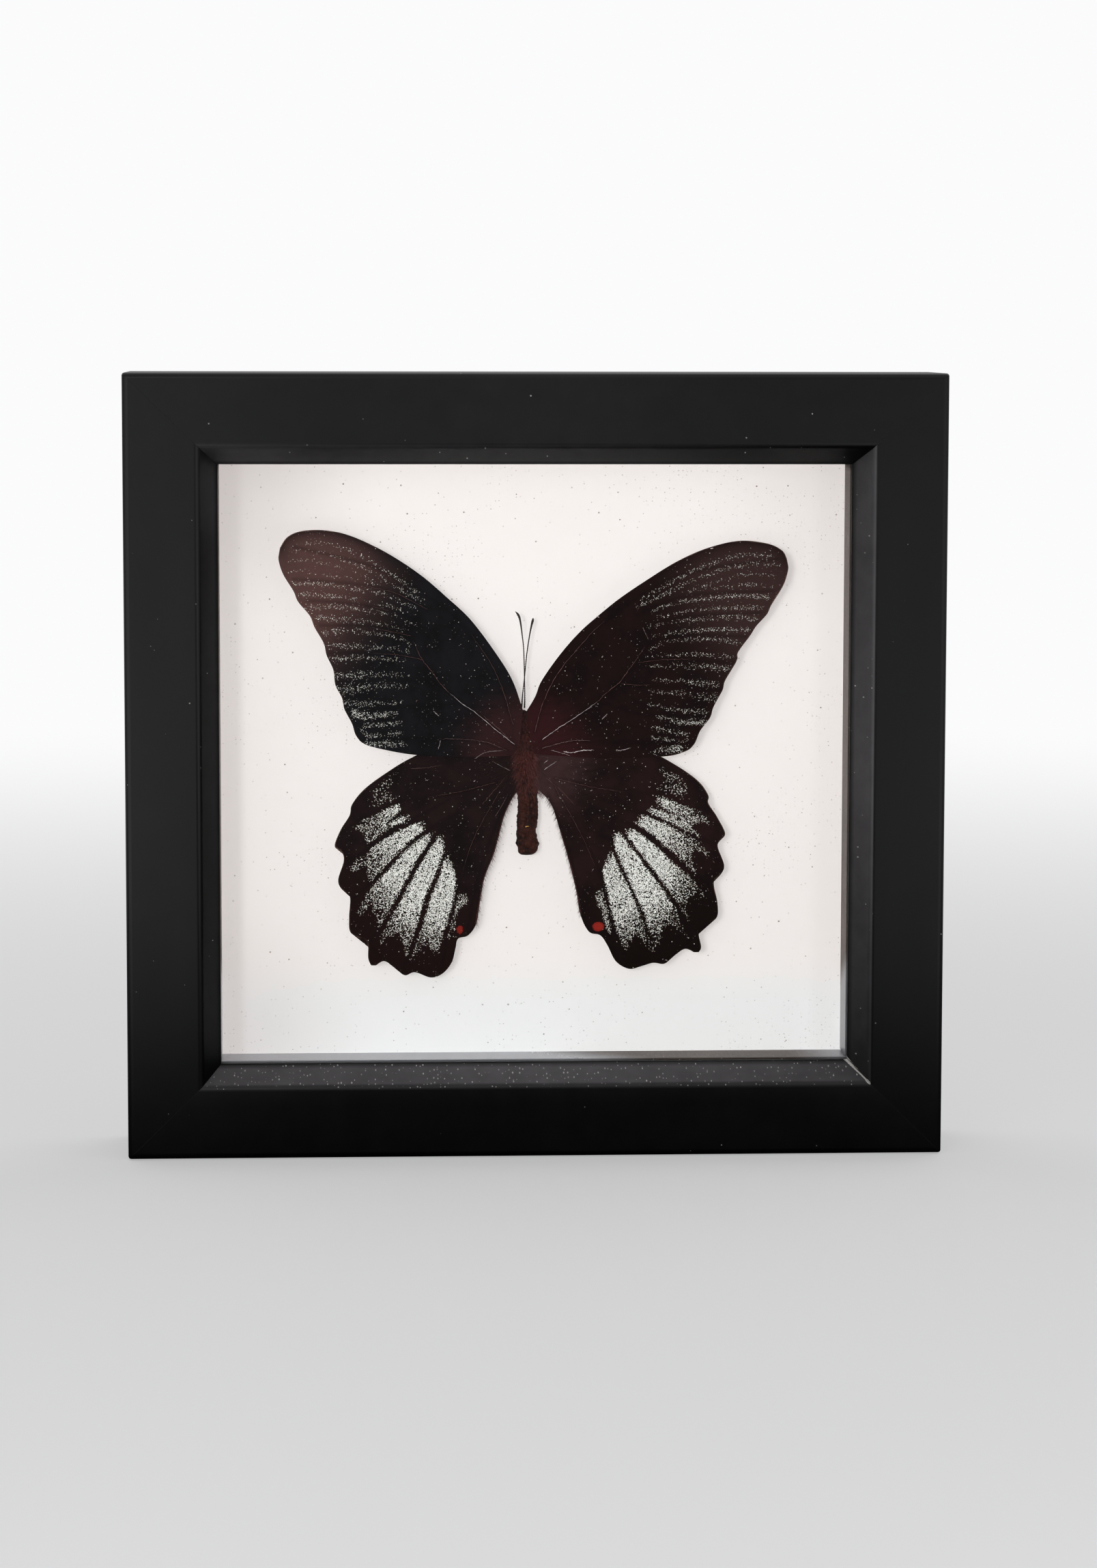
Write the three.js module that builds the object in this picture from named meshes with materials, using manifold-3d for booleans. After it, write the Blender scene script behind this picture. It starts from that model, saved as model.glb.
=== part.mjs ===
// A swallowtail butterfly, spread and glued to a white card, in a black mitred box frame behind glass.
// Millimetres, +Z up, +X to the right and +Y into the frame, so that the glass looks towards -Y.
// The origin is the middle of the bottom of the frame.
import * as THREE from "three";
import { mergeVertices } from "three/addons/utils/BufferGeometryUtils.js";
import Module from "manifold-3d";

// Driving dimensions of the frame
const FRAME_WIDTH = 190;
const FRAME_HEIGHT = 182;
const FRAME_DEPTH = 32;
const SIDE_FACE = 17.3; // flat front face of the two upright rails
const LEVEL_FACE = 16.9; // flat front face of the top and bottom rails
const BEVEL_WIDTH = 4.2; // slope from the front face down to the lip
const BEVEL_DEPTH = 7.4;
const LIP_THICKNESS = 1.4;
const REBATE_WIDTH = 5.2; // how far the lip overhangs the glass
const ARRIS = 1.2; // rounding of the outer front edges
const GAP = 0.3; // clearance between pieces that touch

// Driving dimensions of what the frame holds
const GLASS_THICKNESS = 2;
const CARD_BEHIND_LIP = 15; // from the front edge of the lip to the face of the card
const CARD_THICKNESS = 2;
const BACKING_THICKNESS = 3;
const TAB = { width: 8, length: 14, inWood: 5, thickness: 0.5, point: 3 };
const TAB_SPREAD = 0.27; // distance of a tab from the middle of its rail, as a share of the rail
const HANGER = { length: 44, height: 9, thickness: 0.8, foot: 8, rise: 1.4, teeth: 9, toothDepth: 1.6 };
const NAIL = { head: 1.7, headThickness: 0.6, shank: 0.7, length: 3.8 };

// Driving dimensions of the butterfly
const WING_THICKNESS = 0.3;
const WING_STEPS = 62; // cells along a wing, from root to tip
const WING_BANDS = 3; // cells across a wing
const BODY_X = -2; // the specimen sits a little left of the middle
const FOREWING_FRONT = 0.2; // y of the forewing's face at its root
const FOREWING_LIFT = 0.025; // rise towards the glass for each millimetre outwards
const HINDWING_FRONT = 1.05;
const HINDWING_LIFT = 0.02;

const front = -FRAME_DEPTH / 2;
const back = FRAME_DEPTH / 2;
const lipBack = front + BEVEL_DEPTH + LIP_THICKNESS;
const cardFace = front + BEVEL_DEPTH + CARD_BEHIND_LIP;
const sideLip = SIDE_FACE + BEVEL_WIDTH; // width of an upright rail, measured to its lip
const levelLip = LEVEL_FACE + BEVEL_WIDTH;
// The rebate, in which glass, card and backing lie
const rebateHalfWidth = FRAME_WIDTH / 2 - sideLip + REBATE_WIDTH;
const rebateHalfHeight = FRAME_HEIGHT / 2 - levelLip + REBATE_WIDTH;
const middleHeight = FRAME_HEIGHT / 2;

const wasm = await Module();
wasm.setup();

const BLACK_PAINT = { color: 0x19191b, roughness: 0.5, metalness: 0 };
const BLACK_STRIP = { color: 0x101011, roughness: 0.3, metalness: 0 };
const GLASS = { color: 0xf4f8f6, roughness: 0.03, metalness: 0, transparent: true, opacity: 0.15 };
const WHITE_CARD = { color: 0xf3efec, roughness: 0.9, metalness: 0 };
const HARDBOARD = { color: 0x8a6a48, roughness: 0.85, metalness: 0 };
const STEEL = { color: 0xa9abad, roughness: 0.4, metalness: 0.9 };
const WING_BLACK = { color: 0x241a1a, roughness: 0.8, metalness: 0 };
const BODY_BROWN = { color: 0x3a211d, roughness: 0.9, metalness: 0 };

const frame = new THREE.Group();

function addMesh(name, geometry, finish) {
  const mesh = new THREE.Mesh(geometry, new THREE.MeshStandardMaterial(finish));
  mesh.name = name;
  frame.add(mesh);
  return mesh;
}

// A geometry as a closed solid that can be cut.
function solidOf(geometry) {
  const bare = geometry.clone();
  bare.deleteAttribute("normal");
  bare.deleteAttribute("uv");
  const merged = mergeVertices(bare, 1e-4);
  return new wasm.Manifold(
    new wasm.Mesh({
      numProp: 3,
      vertProperties: new Float32Array(merged.attributes.position.array),
      triVerts: new Uint32Array(merged.index.array),
    }),
  );
}

function geometryOf(solid) {
  const cut = solid.getMesh();
  const geometry = new THREE.BufferGeometry();
  geometry.setAttribute("position", new THREE.BufferAttribute(cut.vertProperties, 3));
  geometry.setIndex(new THREE.BufferAttribute(cut.triVerts, 1));
  geometry.computeVertexNormals();
  return geometry;
}

function cutAway(geometry, cutters) {
  return geometryOf(cutters.reduce((solid, cutter) => solid.subtract(solidOf(cutter)), solidOf(geometry)));
}

function block(width, depth, height, x, y, z) {
  return new THREE.BoxGeometry(width, depth, height).translate(x, y, z);
}

// Moves every vertex of a geometry to the place that a function gives for it.
function reshape(geometry, place) {
  const at = geometry.attributes.position;
  for (let i = 0; i < at.count; i++) {
    const p = place(at.getX(i), at.getY(i), at.getZ(i));
    at.setXYZ(i, p[0], p[1], p[2]);
  }
  geometry.computeVertexNormals();
  return geometry;
}

// Frame rails -------------------------------------------------------------------------------------

// Section of a rail: x inwards from the outer edge, y backwards from the front face.
function railSection(face) {
  const lip = face + BEVEL_WIDTH;
  const section = new THREE.Shape();
  section.moveTo(0, FRAME_DEPTH);
  section.lineTo(0, ARRIS);
  section.absarc(ARRIS, ARRIS, ARRIS, Math.PI, 1.5 * Math.PI, false);
  section.lineTo(face, 0);
  section.lineTo(lip, BEVEL_DEPTH);
  section.lineTo(lip, BEVEL_DEPTH + LIP_THICKNESS);
  section.lineTo(lip - REBATE_WIDTH, BEVEL_DEPTH + LIP_THICKNESS);
  section.lineTo(lip - REBATE_WIDTH, FRAME_DEPTH);
  return section;
}

// A rail lies along its local Z with its outer edge on local x = 0. Both ends are cut on the line
// from the frame's outer corner to the corner of the lips, less half the gap of the mitre.
function railGeometry(face, length, neighbourLip) {
  const slope = neighbourLip / (face + BEVEL_WIDTH);
  const bar = new THREE.ExtrudeGeometry(railSection(face), { depth: 1, bevelEnabled: false, curveSegments: 4 });
  return reshape(bar, (x, y, z) => {
    const half = length / 2 - x * slope - GAP / 2;
    return [x, y, z > 0.5 ? half : -half];
  });
}

// The slot in a rail's rebate wall that a steel tab is driven into, in the rail's own frame.
const tabFront = cardFace + CARD_THICKNESS + GAP + BACKING_THICKNESS + GAP;
const tabMiddle = tabFront + TAB.thickness / 2;

function tabSlot(lip, along) {
  const wall = lip - REBATE_WIDTH;
  const reach = TAB.inWood + GAP;
  const thick = TAB.thickness + 2 * GAP;
  const wide = TAB.width + 2 * GAP;
  // The slot runs out through the rebate wall by its own gap, so that it is open to the recess.
  return block(reach + GAP, thick, wide, wall - reach / 2 + GAP / 2, tabMiddle - front, along);
}

function tabGeometry(lip, along) {
  const outline = new THREE.Shape();
  const half = TAB.width / 2;
  const wall = lip - REBATE_WIDTH;
  const inner = wall + TAB.length - TAB.inWood;
  const tip = wall - TAB.inWood;
  outline.moveTo(inner - 1, -half);
  outline.lineTo(inner, 1 - half);
  outline.lineTo(inner, half - 1);
  outline.lineTo(inner - 1, half);
  outline.lineTo(tip + TAB.point, half);
  outline.lineTo(tip, 0);
  outline.lineTo(tip + TAB.point, -half);
  const plate = new THREE.ExtrudeGeometry(outline, { depth: TAB.thickness, bevelEnabled: false });
  // From the drawing plane into the plane of the backing board
  return plate.rotateX(Math.PI / 2).translate(0, tabMiddle - front + TAB.thickness / 2, along);
}

const rails = [
  { name: "left", face: SIDE_FACE, other: levelLip, length: FRAME_HEIGHT, turn: 0, x: -FRAME_WIDTH / 2, z: middleHeight },
  { name: "right", face: SIDE_FACE, other: levelLip, length: FRAME_HEIGHT, turn: Math.PI, x: FRAME_WIDTH / 2, z: middleHeight },
  { name: "top", face: LEVEL_FACE, other: sideLip, length: FRAME_WIDTH, turn: Math.PI / 2, x: 0, z: FRAME_HEIGHT },
  { name: "bottom", face: LEVEL_FACE, other: sideLip, length: FRAME_WIDTH, turn: -Math.PI / 2, x: 0, z: 0 },
];

for (const rail of rails) {
  const lip = rail.face + BEVEL_WIDTH;
  const places = [-rail.length * TAB_SPREAD, rail.length * TAB_SPREAD];
  const bar = railGeometry(rail.face, rail.length, rail.other);
  const pieces = [addMesh(`frame_rail_${rail.name}`, cutAway(bar, places.map((z) => tabSlot(lip, z))), BLACK_PAINT)];
  places.forEach((z, i) => pieces.push(addMesh(`steel_tab_${rail.name}_${i + 1}`, tabGeometry(lip, z), STEEL)));
  for (const piece of pieces) {
    piece.rotation.y = rail.turn;
    piece.position.set(rail.x, front, rail.z);
  }
}

// Glass, spacer strips, card and backing ------------------------------------------------------------

const paneHalfWidth = rebateHalfWidth - GAP;
const paneHalfHeight = rebateHalfHeight - GAP;

function sheet(thickness, frontFace) {
  return block(2 * paneHalfWidth, thickness, 2 * paneHalfHeight, 0, frontFace + thickness / 2, middleHeight);
}

const glassFront = lipBack + GAP;
const stripFront = glassFront + GLASS_THICKNESS + GAP;
const stripDepth = cardFace - GAP - stripFront;
const stripMiddle = stripFront + stripDepth / 2;
const stripWidth = REBATE_WIDTH - GAP; // the strips end flush with the lip
const sideStripHeight = 2 * (paneHalfHeight - stripWidth - GAP);

addMesh("glass_pane", sheet(GLASS_THICKNESS, glassFront), GLASS);
for (const [name, side] of [["left", -1], ["right", 1]]) {
  const x = side * (paneHalfWidth - stripWidth / 2);
  addMesh(`spacer_strip_${name}`, block(stripWidth, stripDepth, sideStripHeight, x, stripMiddle, middleHeight), BLACK_STRIP);
}
for (const [name, side] of [["bottom", -1], ["top", 1]]) {
  const z = middleHeight + side * (paneHalfHeight - stripWidth / 2);
  addMesh(`spacer_strip_${name}`, block(2 * paneHalfWidth, stripDepth, stripWidth, 0, stripMiddle, z), BLACK_STRIP);
}
addMesh("mount_card", sheet(CARD_THICKNESS, cardFace), WHITE_CARD);

// Backing board with a sawtooth hanger nailed to it ------------------------------------------------------

const backingFront = cardFace + CARD_THICKNESS + GAP;
const backingBack = backingFront + BACKING_THICKNESS;
const hangerHeight = FRAME_HEIGHT - levelLip - 12; // z of the hanger's middle
const nailX = HANGER.length / 2 - HANGER.foot / 2;
const hangerFront = backingBack + GAP;

function nailHole(x) {
  const radius = NAIL.shank + GAP;
  return new THREE.CylinderGeometry(radius, radius, 2 * NAIL.length, 12).translate(x, backingBack, hangerHeight);
}

// The nail's axis lies along Y with its head outermost.
function nailGeometry(x) {
  const headFront = hangerFront + HANGER.thickness + GAP;
  const profile = [
    [0, headFront + NAIL.headThickness],
    [NAIL.head * 0.7, headFront + NAIL.headThickness],
    [NAIL.head, headFront + NAIL.headThickness / 3],
    [NAIL.head, headFront],
    [NAIL.shank, headFront],
    [NAIL.shank, headFront - NAIL.length + NAIL.shank],
    [0, headFront - NAIL.length],
  ].reverse();
  return new THREE.LatheGeometry(profile.map(([r, y]) => new THREE.Vector2(r, y)), 12).translate(x, 0, hangerHeight);
}

// The hanger's feet lie on the board and its middle stands off it. Its lower edge is a row of teeth.
function hangerGeometry() {
  const steps = 2 * HANGER.teeth + 4;
  const flat = (HANGER.length - 2 * HANGER.foot) / 2; // half of the raised and toothed stretch
  const plate = new THREE.BoxGeometry(1, 1, 1, steps, 1, 1);
  return reshape(plate, (x, y, z) => {
    const step = Math.round((x + 0.5) * steps);
    const inner = step - 2; // two steps at each end make the foot and the rise
    const toothed = inner >= 0 && inner <= 2 * HANGER.teeth;
    const run = toothed ? -flat + (inner / HANGER.teeth) * flat : 0;
    const ends = { 0: -HANGER.length / 2, 1: -flat - 2, [steps - 1]: flat + 2, [steps]: HANGER.length / 2 };
    const across = toothed ? run : ends[step];
    const rise = toothed ? HANGER.rise : 0;
    const tooth = toothed && inner % 2 === 1 && z < 0 ? HANGER.toothDepth : 0;
    return [across, hangerFront + rise + (y + 0.5) * HANGER.thickness, hangerHeight + z * HANGER.height + tooth];
  });
}

const nailHoles = [nailHole(-nailX), nailHole(nailX)];
addMesh("backing_board", cutAway(sheet(BACKING_THICKNESS, backingFront), nailHoles), HARDBOARD);
addMesh("sawtooth_hanger", cutAway(hangerGeometry(), nailHoles), STEEL);
addMesh("hanger_nail_left", nailGeometry(nailX), STEEL); // left as seen from behind
addMesh("hanger_nail_right", nailGeometry(-nailX), STEEL);

// Wings ---------------------------------------------------------------------------------------------------

// Each wing is spread between two edges, root to tip: the leading edge, and the trailing edge, which
// takes in the inner margin and the scalloped outer margin. Points are [x, z].
const wings = {
  forewing_left: {
    leading: [
      [-2.6, 103.2], [-5, 110], [-8.6, 116], [-14.7, 124.2], [-20.5, 129.7], [-26.7, 135], [-34.5, 140.1],
      [-42.5, 143.9], [-48.5, 145.3], [-54, 145.2], [-57.5, 143.8], [-59.3, 141.2],
    ],
    trailing: [
      [-4.9, 93.3], [-9, 92.2], [-18, 92.2], [-27.8, 92.7], [-35.2, 94], [-39.7, 95.3], [-41.7, 97.3],
      [-42.7, 100.2], [-44.4, 103.5], [-45, 106.2], [-46.5, 109.2], [-47, 112.8], [-48.5, 116.1], [-49.2, 119],
      [-51.3, 122.7], [-52.4, 125.4], [-55.1, 128.7], [-56.2, 131.2], [-58.6, 135.2], [-59.6, 138.4], [-59.5, 140],
    ],
  },
  forewing_right: {
    leading: [
      [-1.7, 102.9], [0.3, 106.3], [1.8, 110], [6, 116], [10.5, 121.2], [14.7, 125], [20, 129.3], [26.5, 133.7],
      [33.5, 138], [40.5, 141.1], [48, 142.8], [54.5, 142.2], [58, 140.6], [59.2, 138.6],
    ],
    trailing: [
      [0.9, 93.5], [6, 92.3], [15, 91.9], [30, 92.1], [35.5, 93.3], [37.7, 95.1], [39.1, 98.2], [41.4, 101.3],
      [42.2, 103.8], [44.3, 107.8], [44.9, 110], [47.6, 114.7], [47.9, 116.7], [50.7, 120.6], [52.1, 122.8],
      [54.6, 125.6], [55.6, 127.7], [58.4, 132.4], [59.5, 136], [59.4, 137.5],
    ],
  },
  hindwing_left: {
    leading: [
      [-5, 91.5], [-12, 94.5], [-21, 95], [-29, 91.8], [-35.1, 88.1], [-39.9, 84.5], [-42.7, 81], [-43.3, 78.4],
      [-45.4, 75], [-46.8, 71.2], [-45.2, 69.9], [-44.7, 67.6], [-46, 63.3], [-45.3, 61.1], [-43.3, 59.3],
      [-43.5, 54.4], [-43.3, 51], [-41.6, 49.7], [-39.2, 48.6], [-39, 44.5], [-38.3, 42.8],
    ],
    trailing: [
      [-4.9, 86], [-4.9, 81.6], [-7, 77.7], [-9.2, 69.6], [-11.5, 63.6], [-12.6, 58], [-13.5, 52.6], [-15.4, 49.8],
      [-17.8, 49], [-18.4, 46.8], [-19.3, 43.4], [-21.4, 40.8], [-24.2, 39.8], [-28, 41.1], [-30.4, 40.4],
      [-32.7, 42.1], [-35.2, 43.8], [-37.2, 42.8],
    ],
  },
  hindwing_right: {
    leading: [
      [1.1, 91.5], [8, 94.2], [17, 95], [27, 93.2], [33.8, 89.8], [38.9, 86.1], [41.2, 82.8], [41.2, 81],
      [43.3, 77.7], [45.2, 73.8], [43.9, 72], [43.5, 70.5], [45, 66.3], [44.3, 64.1], [42.6, 62.2], [43.5, 57.2],
      [43.2, 53.6], [39.6, 51.7], [39.1, 49.7], [39.7, 46.8], [39.1, 45.5],
    ],
    trailing: [
      [1.1, 86], [1.4, 83.8], [4.3, 80.4], [6.2, 74.6], [8.6, 66.3], [10.1, 60], [11.1, 54.5], [13.1, 50.5],
      [15.8, 49.6], [17.5, 47.2], [19.5, 43.4], [22.6, 41.6], [25.5, 42.2], [28.3, 43], [31, 42.8], [33.2, 44.6],
      [35.8, 46.3], [38, 45.5],
    ],
  },
};

// A box of unit size, with cells along and across it, is spread over the wing: its length runs from
// root to tip, its width from the trailing to the leading edge, and its depth is the membrane.
function wingGeometry({ leading, trailing }, frontAtRoot, lift) {
  const edges = [trailing, leading].map((points) =>
    new THREE.SplineCurve(points.map(([x, z]) => new THREE.Vector2(x, z))).getSpacedPoints(WING_STEPS),
  );
  const cells = new THREE.BoxGeometry(1, 1, 1, WING_STEPS, WING_BANDS, 1);
  const side = leading[0][0] < BODY_X ? -1 : 1; // a left wing's length runs towards -X
  return reshape(cells, (x, y, z) => {
    const step = Math.round((x * side + 0.5) * WING_STEPS);
    const point = edges[0][step].clone().lerp(edges[1][step], y + 0.5);
    const outwards = Math.abs(point.x - BODY_X);
    return [point.x, frontAtRoot - lift * outwards + (0.5 - z) * WING_THICKNESS, point.y];
  });
}

for (const [name, edges] of Object.entries(wings)) {
  const fore = name.startsWith("fore");
  const geometry = wingGeometry(edges, fore ? FOREWING_FRONT : HINDWING_FRONT, fore ? FOREWING_LIFT : HINDWING_LIFT);
  addMesh(name, geometry, WING_BLACK);
}

// Body and antennae -----------------------------------------------------------------------------------------

// A sphere's rings are laid along a list of stations [x, y, z, half width, half depth].
function grownGeometry(stations, sides, rings) {
  const middle = new THREE.CatmullRomCurve3(stations.map(([x, y, z]) => new THREE.Vector3(x, y, z)));
  const girth = new THREE.CatmullRomCurve3(stations.map(([, , , a, b]) => new THREE.Vector3(a, b, 0)));
  return reshape(new THREE.SphereGeometry(1, sides, rings), (x, y, z) => {
    const t = Math.round((Math.acos(THREE.MathUtils.clamp(y, -1, 1)) / Math.PI) * rings) / rings;
    const centre = middle.getPoint(t);
    const size = girth.getPoint(t);
    const ring = t === 0 || t === 1 ? 1 : Math.hypot(x, z);
    return [centre.x + (x / ring) * size.x, centre.y - (z / ring) * size.y, centre.z];
  });
}

// From the head, through the thorax, to the blunt end of the dried abdomen
const body = [
  [-2.2, 3.4, 102.9, 0.2, 0.2], [-2.2, 3.4, 102.2, 1.2, 1.1], [-2.2, 3.3, 100.4, 1.7, 1.5], [-2.2, 3, 98.4, 1.2, 1.2],
  [-2.1, 2.9, 97, 1.8, 2], [-2.1, 2.8, 94.5, 2.4, 2.9], [-2, 2.6, 91, 2.5, 3.3], [-2, 2.7, 87.6, 2.3, 3],
  [-1.7, 3, 85, 2, 2.3], [-1.4, 3.2, 82.5, 2.1, 2.2], [-1.1, 3.3, 79.5, 2.1, 2.1], [-1.4, 3.4, 76.5, 2.1, 2],
  [-1.6, 3.4, 73, 2.5, 2], [-1.5, 3.5, 70.6, 2.3, 1.8], [-1.8, 3.5, 69.2, 1.5, 1.2], [-1.8, 3.5, 68.9, 0.3, 0.3],
];
addMesh("butterfly_body", grownGeometry(body, 16, 30), BODY_BROWN);

// The antennae cross above the head: the left one passes in front. Each ends in a club.
const antennae = {
  antenna_left: [
    [-2.1, 2.6, 103.4, 0.2, 0.2], [-2.05, 2.2, 106.4, 0.16, 0.16], [-2.15, 2, 111, 0.16, 0.16],
    [-2.35, 1.8, 117.3, 0.16, 0.16], [-2.75, 1.7, 121, 0.17, 0.17], [-3.2, 1.6, 124.1, 0.24, 0.24],
    [-3.7, 1.6, 125.5, 0.32, 0.32], [-4.3, 1.6, 126.2, 0.1, 0.1],
  ],
  antenna_right: [
    [-2.75, 3.4, 103.4, 0.2, 0.2], [-2.5, 3.1, 106.8, 0.16, 0.16], [-2.1, 3, 110.4, 0.16, 0.16],
    [-1.65, 2.8, 115.4, 0.16, 0.16], [-1, 2.7, 120, 0.17, 0.17], [-0.45, 2.6, 122.9, 0.24, 0.24],
    [-0.2, 2.6, 123.9, 0.3, 0.3], [-0.1, 2.6, 124.6, 0.1, 0.1],
  ],
};
for (const [name, stations] of Object.entries(antennae)) {
  addMesh(name, grownGeometry([...stations].reverse(), 8, 22), WING_BLACK);
}

export default frame;
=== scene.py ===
"""A swallowtail butterfly spread on a white card, behind glass in a black wooden box frame.

The frame looks towards -Y and stands on z = 0 with x = 0 in its middle. Points are given in
millimetres and written to the meshes in metres.
"""

import math
import bpy
import numpy as np
from mathutils import Matrix, Vector


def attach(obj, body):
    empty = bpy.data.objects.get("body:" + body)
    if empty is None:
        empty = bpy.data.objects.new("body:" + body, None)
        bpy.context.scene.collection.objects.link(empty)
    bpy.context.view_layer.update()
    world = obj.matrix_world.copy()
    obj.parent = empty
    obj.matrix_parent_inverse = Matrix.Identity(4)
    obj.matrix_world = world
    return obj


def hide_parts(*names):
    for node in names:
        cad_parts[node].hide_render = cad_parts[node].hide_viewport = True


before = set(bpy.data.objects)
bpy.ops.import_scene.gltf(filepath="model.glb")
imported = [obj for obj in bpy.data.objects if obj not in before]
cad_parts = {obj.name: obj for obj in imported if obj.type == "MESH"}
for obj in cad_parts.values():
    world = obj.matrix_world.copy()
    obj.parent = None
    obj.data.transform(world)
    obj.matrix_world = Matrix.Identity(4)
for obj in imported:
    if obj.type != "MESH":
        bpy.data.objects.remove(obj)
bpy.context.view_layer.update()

# ---------------------------------------------------------------------------------- frame rails
# Four lengths of moulding, cut at 45 degrees, glued and nailed at the mitres and sprayed satin
# black. A flat face slopes down to a thin lip, and behind the lip a rebate holds the glass.


class Value:
    """A shader socket that takes part in Python arithmetic. Each operation adds a Math node."""

    def __init__(self, shader, socket):
        self.shader = shader
        self.socket = socket

    def __add__(self, other):
        return self.shader.sum("ADD", self, other)

    def __sub__(self, other):
        return self.shader.sum("SUBTRACT", self, other)

    def __rsub__(self, other):
        return self.shader.sum("SUBTRACT", other, self)

    def __mul__(self, other):
        return self.shader.sum("MULTIPLY", self, other)

    def __truediv__(self, other):
        return self.shader.sum("DIVIDE", self, other)

    def __lt__(self, other):
        return self.shader.sum("LESS_THAN", self, other)

    def __gt__(self, other):
        return self.shader.sum("GREATER_THAN", self, other)

    __radd__ = __add__
    __rmul__ = __mul__

    def output(self, name):
        """Another output of the node that this value comes from."""
        return Value(self.shader, self.socket.node.outputs[name])


class Shader:
    """A node tree that is written as expressions."""

    def __init__(self, tree):
        self.tree = tree
        tree.nodes.clear()

    def node(self, kind, settings=None, values=None, output=0):
        """Adds a node, sets its settings and then its inputs, each to a number, a colour or a Value."""
        made = self.tree.nodes.new("ShaderNode" + kind)
        for name, setting in (settings or {}).items():
            setattr(made, name, setting)
        for name, value in (values or {}).items():
            if isinstance(value, Value):
                self.tree.links.new(value.socket, made.inputs[name])
            else:
                made.inputs[name].default_value = value
        return Value(self, made.outputs[output])

    def sum(self, operation, first, second):
        """One Math node."""
        return self.node("Math", {"operation": operation}, {0: first, 1: second})

    def mix(self, share, first, second, blend="MIX"):
        """Two colours mixed, from the first at share 0 to the second at share 1."""
        settings = {"data_type": "RGBA", "blend_type": blend}
        return self.node("Mix", settings, {0: share, 6: first, 7: second}, 2)

    def step(self, value, low, high, start=0.0, end=1.0):
        """A smooth step: start below low, end above high."""
        values = {0: value, 1: low, 2: high, 3: start, 4: end}
        return self.node("MapRange", {"interpolation_type": "SMOOTHSTEP"}, values)

    def drop(self, value, low, high):
        """A smooth step down: 1 below low, 0 above high."""
        return self.step(value, low, high, 1.0, 0.0)

    def place(self):
        """Object coordinates, in metres."""
        return self.node("TexCoord", output="Object")

    def axes(self):
        """The position across, back and up, in metres."""
        position = self.node("SeparateXYZ", None, {0: self.place()})
        return [position.output(axis) for axis in "XYZ"]

    def stretched(self, x, y, z):
        """Object coordinates, stretched along each axis by a factor."""
        scale = (1 / x, 1 / y, 1 / z)
        return self.node("Mapping", None, {"Vector": self.place(), "Scale": scale})

    def noise(self, size, detail=2.0, rough=0.5, place=None):
        """Cloudy noise, 0 to 1, with features of a size in millimetres."""
        values = {"Vector": place or self.place(), "Scale": 1000 / size}
        return self.node("TexNoise", None, {**values, "Detail": detail, "Roughness": rough})

    def specks(self, spacing, share, radius, flat=None):
        """Up to 1 in round specks: a share of cells of this spacing holds one, of up to this radius.
        The cells are those of space, or of the plane if flat gives the position in it."""
        values = {"Vector": flat or self.place(), "Scale": 1000 / spacing}
        settings = {"voronoi_dimensions": "2D" if flat else "3D"}
        cell = self.node("TexVoronoi", settings, values, "Distance")
        chance = self.node("SeparateColor", None, {0: cell.output("Color")})
        size = chance.output("Green") * (radius / spacing) + 0.3 * radius / spacing
        inside = cell < size
        return inside * (chance.output("Red") < share) * (0.4 + 0.6 * chance.output("Blue"))

    def flat(self):
        """The position across and up, in metres, for patterns on the card and the wings."""
        across, _, up = self.axes()
        return self.node("CombineXYZ", None, {0: across, 1: up})

    def bump(self, height, depth):
        """The normal of a surface whose relief is height times depth, in millimetres."""
        return self.node("Bump", None, {"Height": height, "Distance": depth / 1000, "Strength": 1.0})

    def painted(self, name):
        """A number painted on the mesh."""
        return self.node("Attribute", {"attribute_name": name}, output="Fac")


def screen(red, green, blue):
    """A screen colour, 0 to 255, as the linear colour that a shader takes."""
    share = np.array([red, green, blue]) / 255
    linear = np.where(share <= 0.04045, share / 12.92, ((share + 0.055) / 1.055) ** 2.4)
    return (*linear.tolist(), 1.0)


def finish(name):
    """A new material and the shader that it holds."""
    material = bpy.data.materials.new(name)
    material.use_nodes = True
    return material, Shader(material.node_tree)


def surface_output(shader, result):
    """Makes a shader the surface of its material."""
    end = shader.tree.nodes.new("ShaderNodeOutputMaterial")
    shader.tree.links.new(result.socket, end.inputs["Surface"])


def solid(shader, colour, roughness, normal=None, **constants):
    """A Principled surface. Constants are named as its sockets, with _ for a space."""
    values = {"Base Color": colour, "Roughness": roughness}
    if normal:
        values["Normal"] = normal
    for name, value in constants.items():
        values[name.replace("_", " ")] = value
    surface_output(shader, shader.node("BsdfPrincipled", None, values, "BSDF"))


def built(name, points, faces, paint):
    """A new object from points in millimetres and faces. paint holds a number for each point under
    each of its titles."""
    mesh = bpy.data.meshes.new(name)
    mesh.from_pydata((points / 1000).tolist(), [], faces)
    mesh.shade_smooth()
    for title, values in paint.items():
        attribute = mesh.attributes.new(title, "FLOAT", "POINT")
        attribute.data.foreach_set("value", np.ascontiguousarray(values, np.float32).ravel())
    piece = bpy.data.objects.new(name, mesh)
    bpy.context.scene.collection.objects.link(piece)
    return piece


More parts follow.
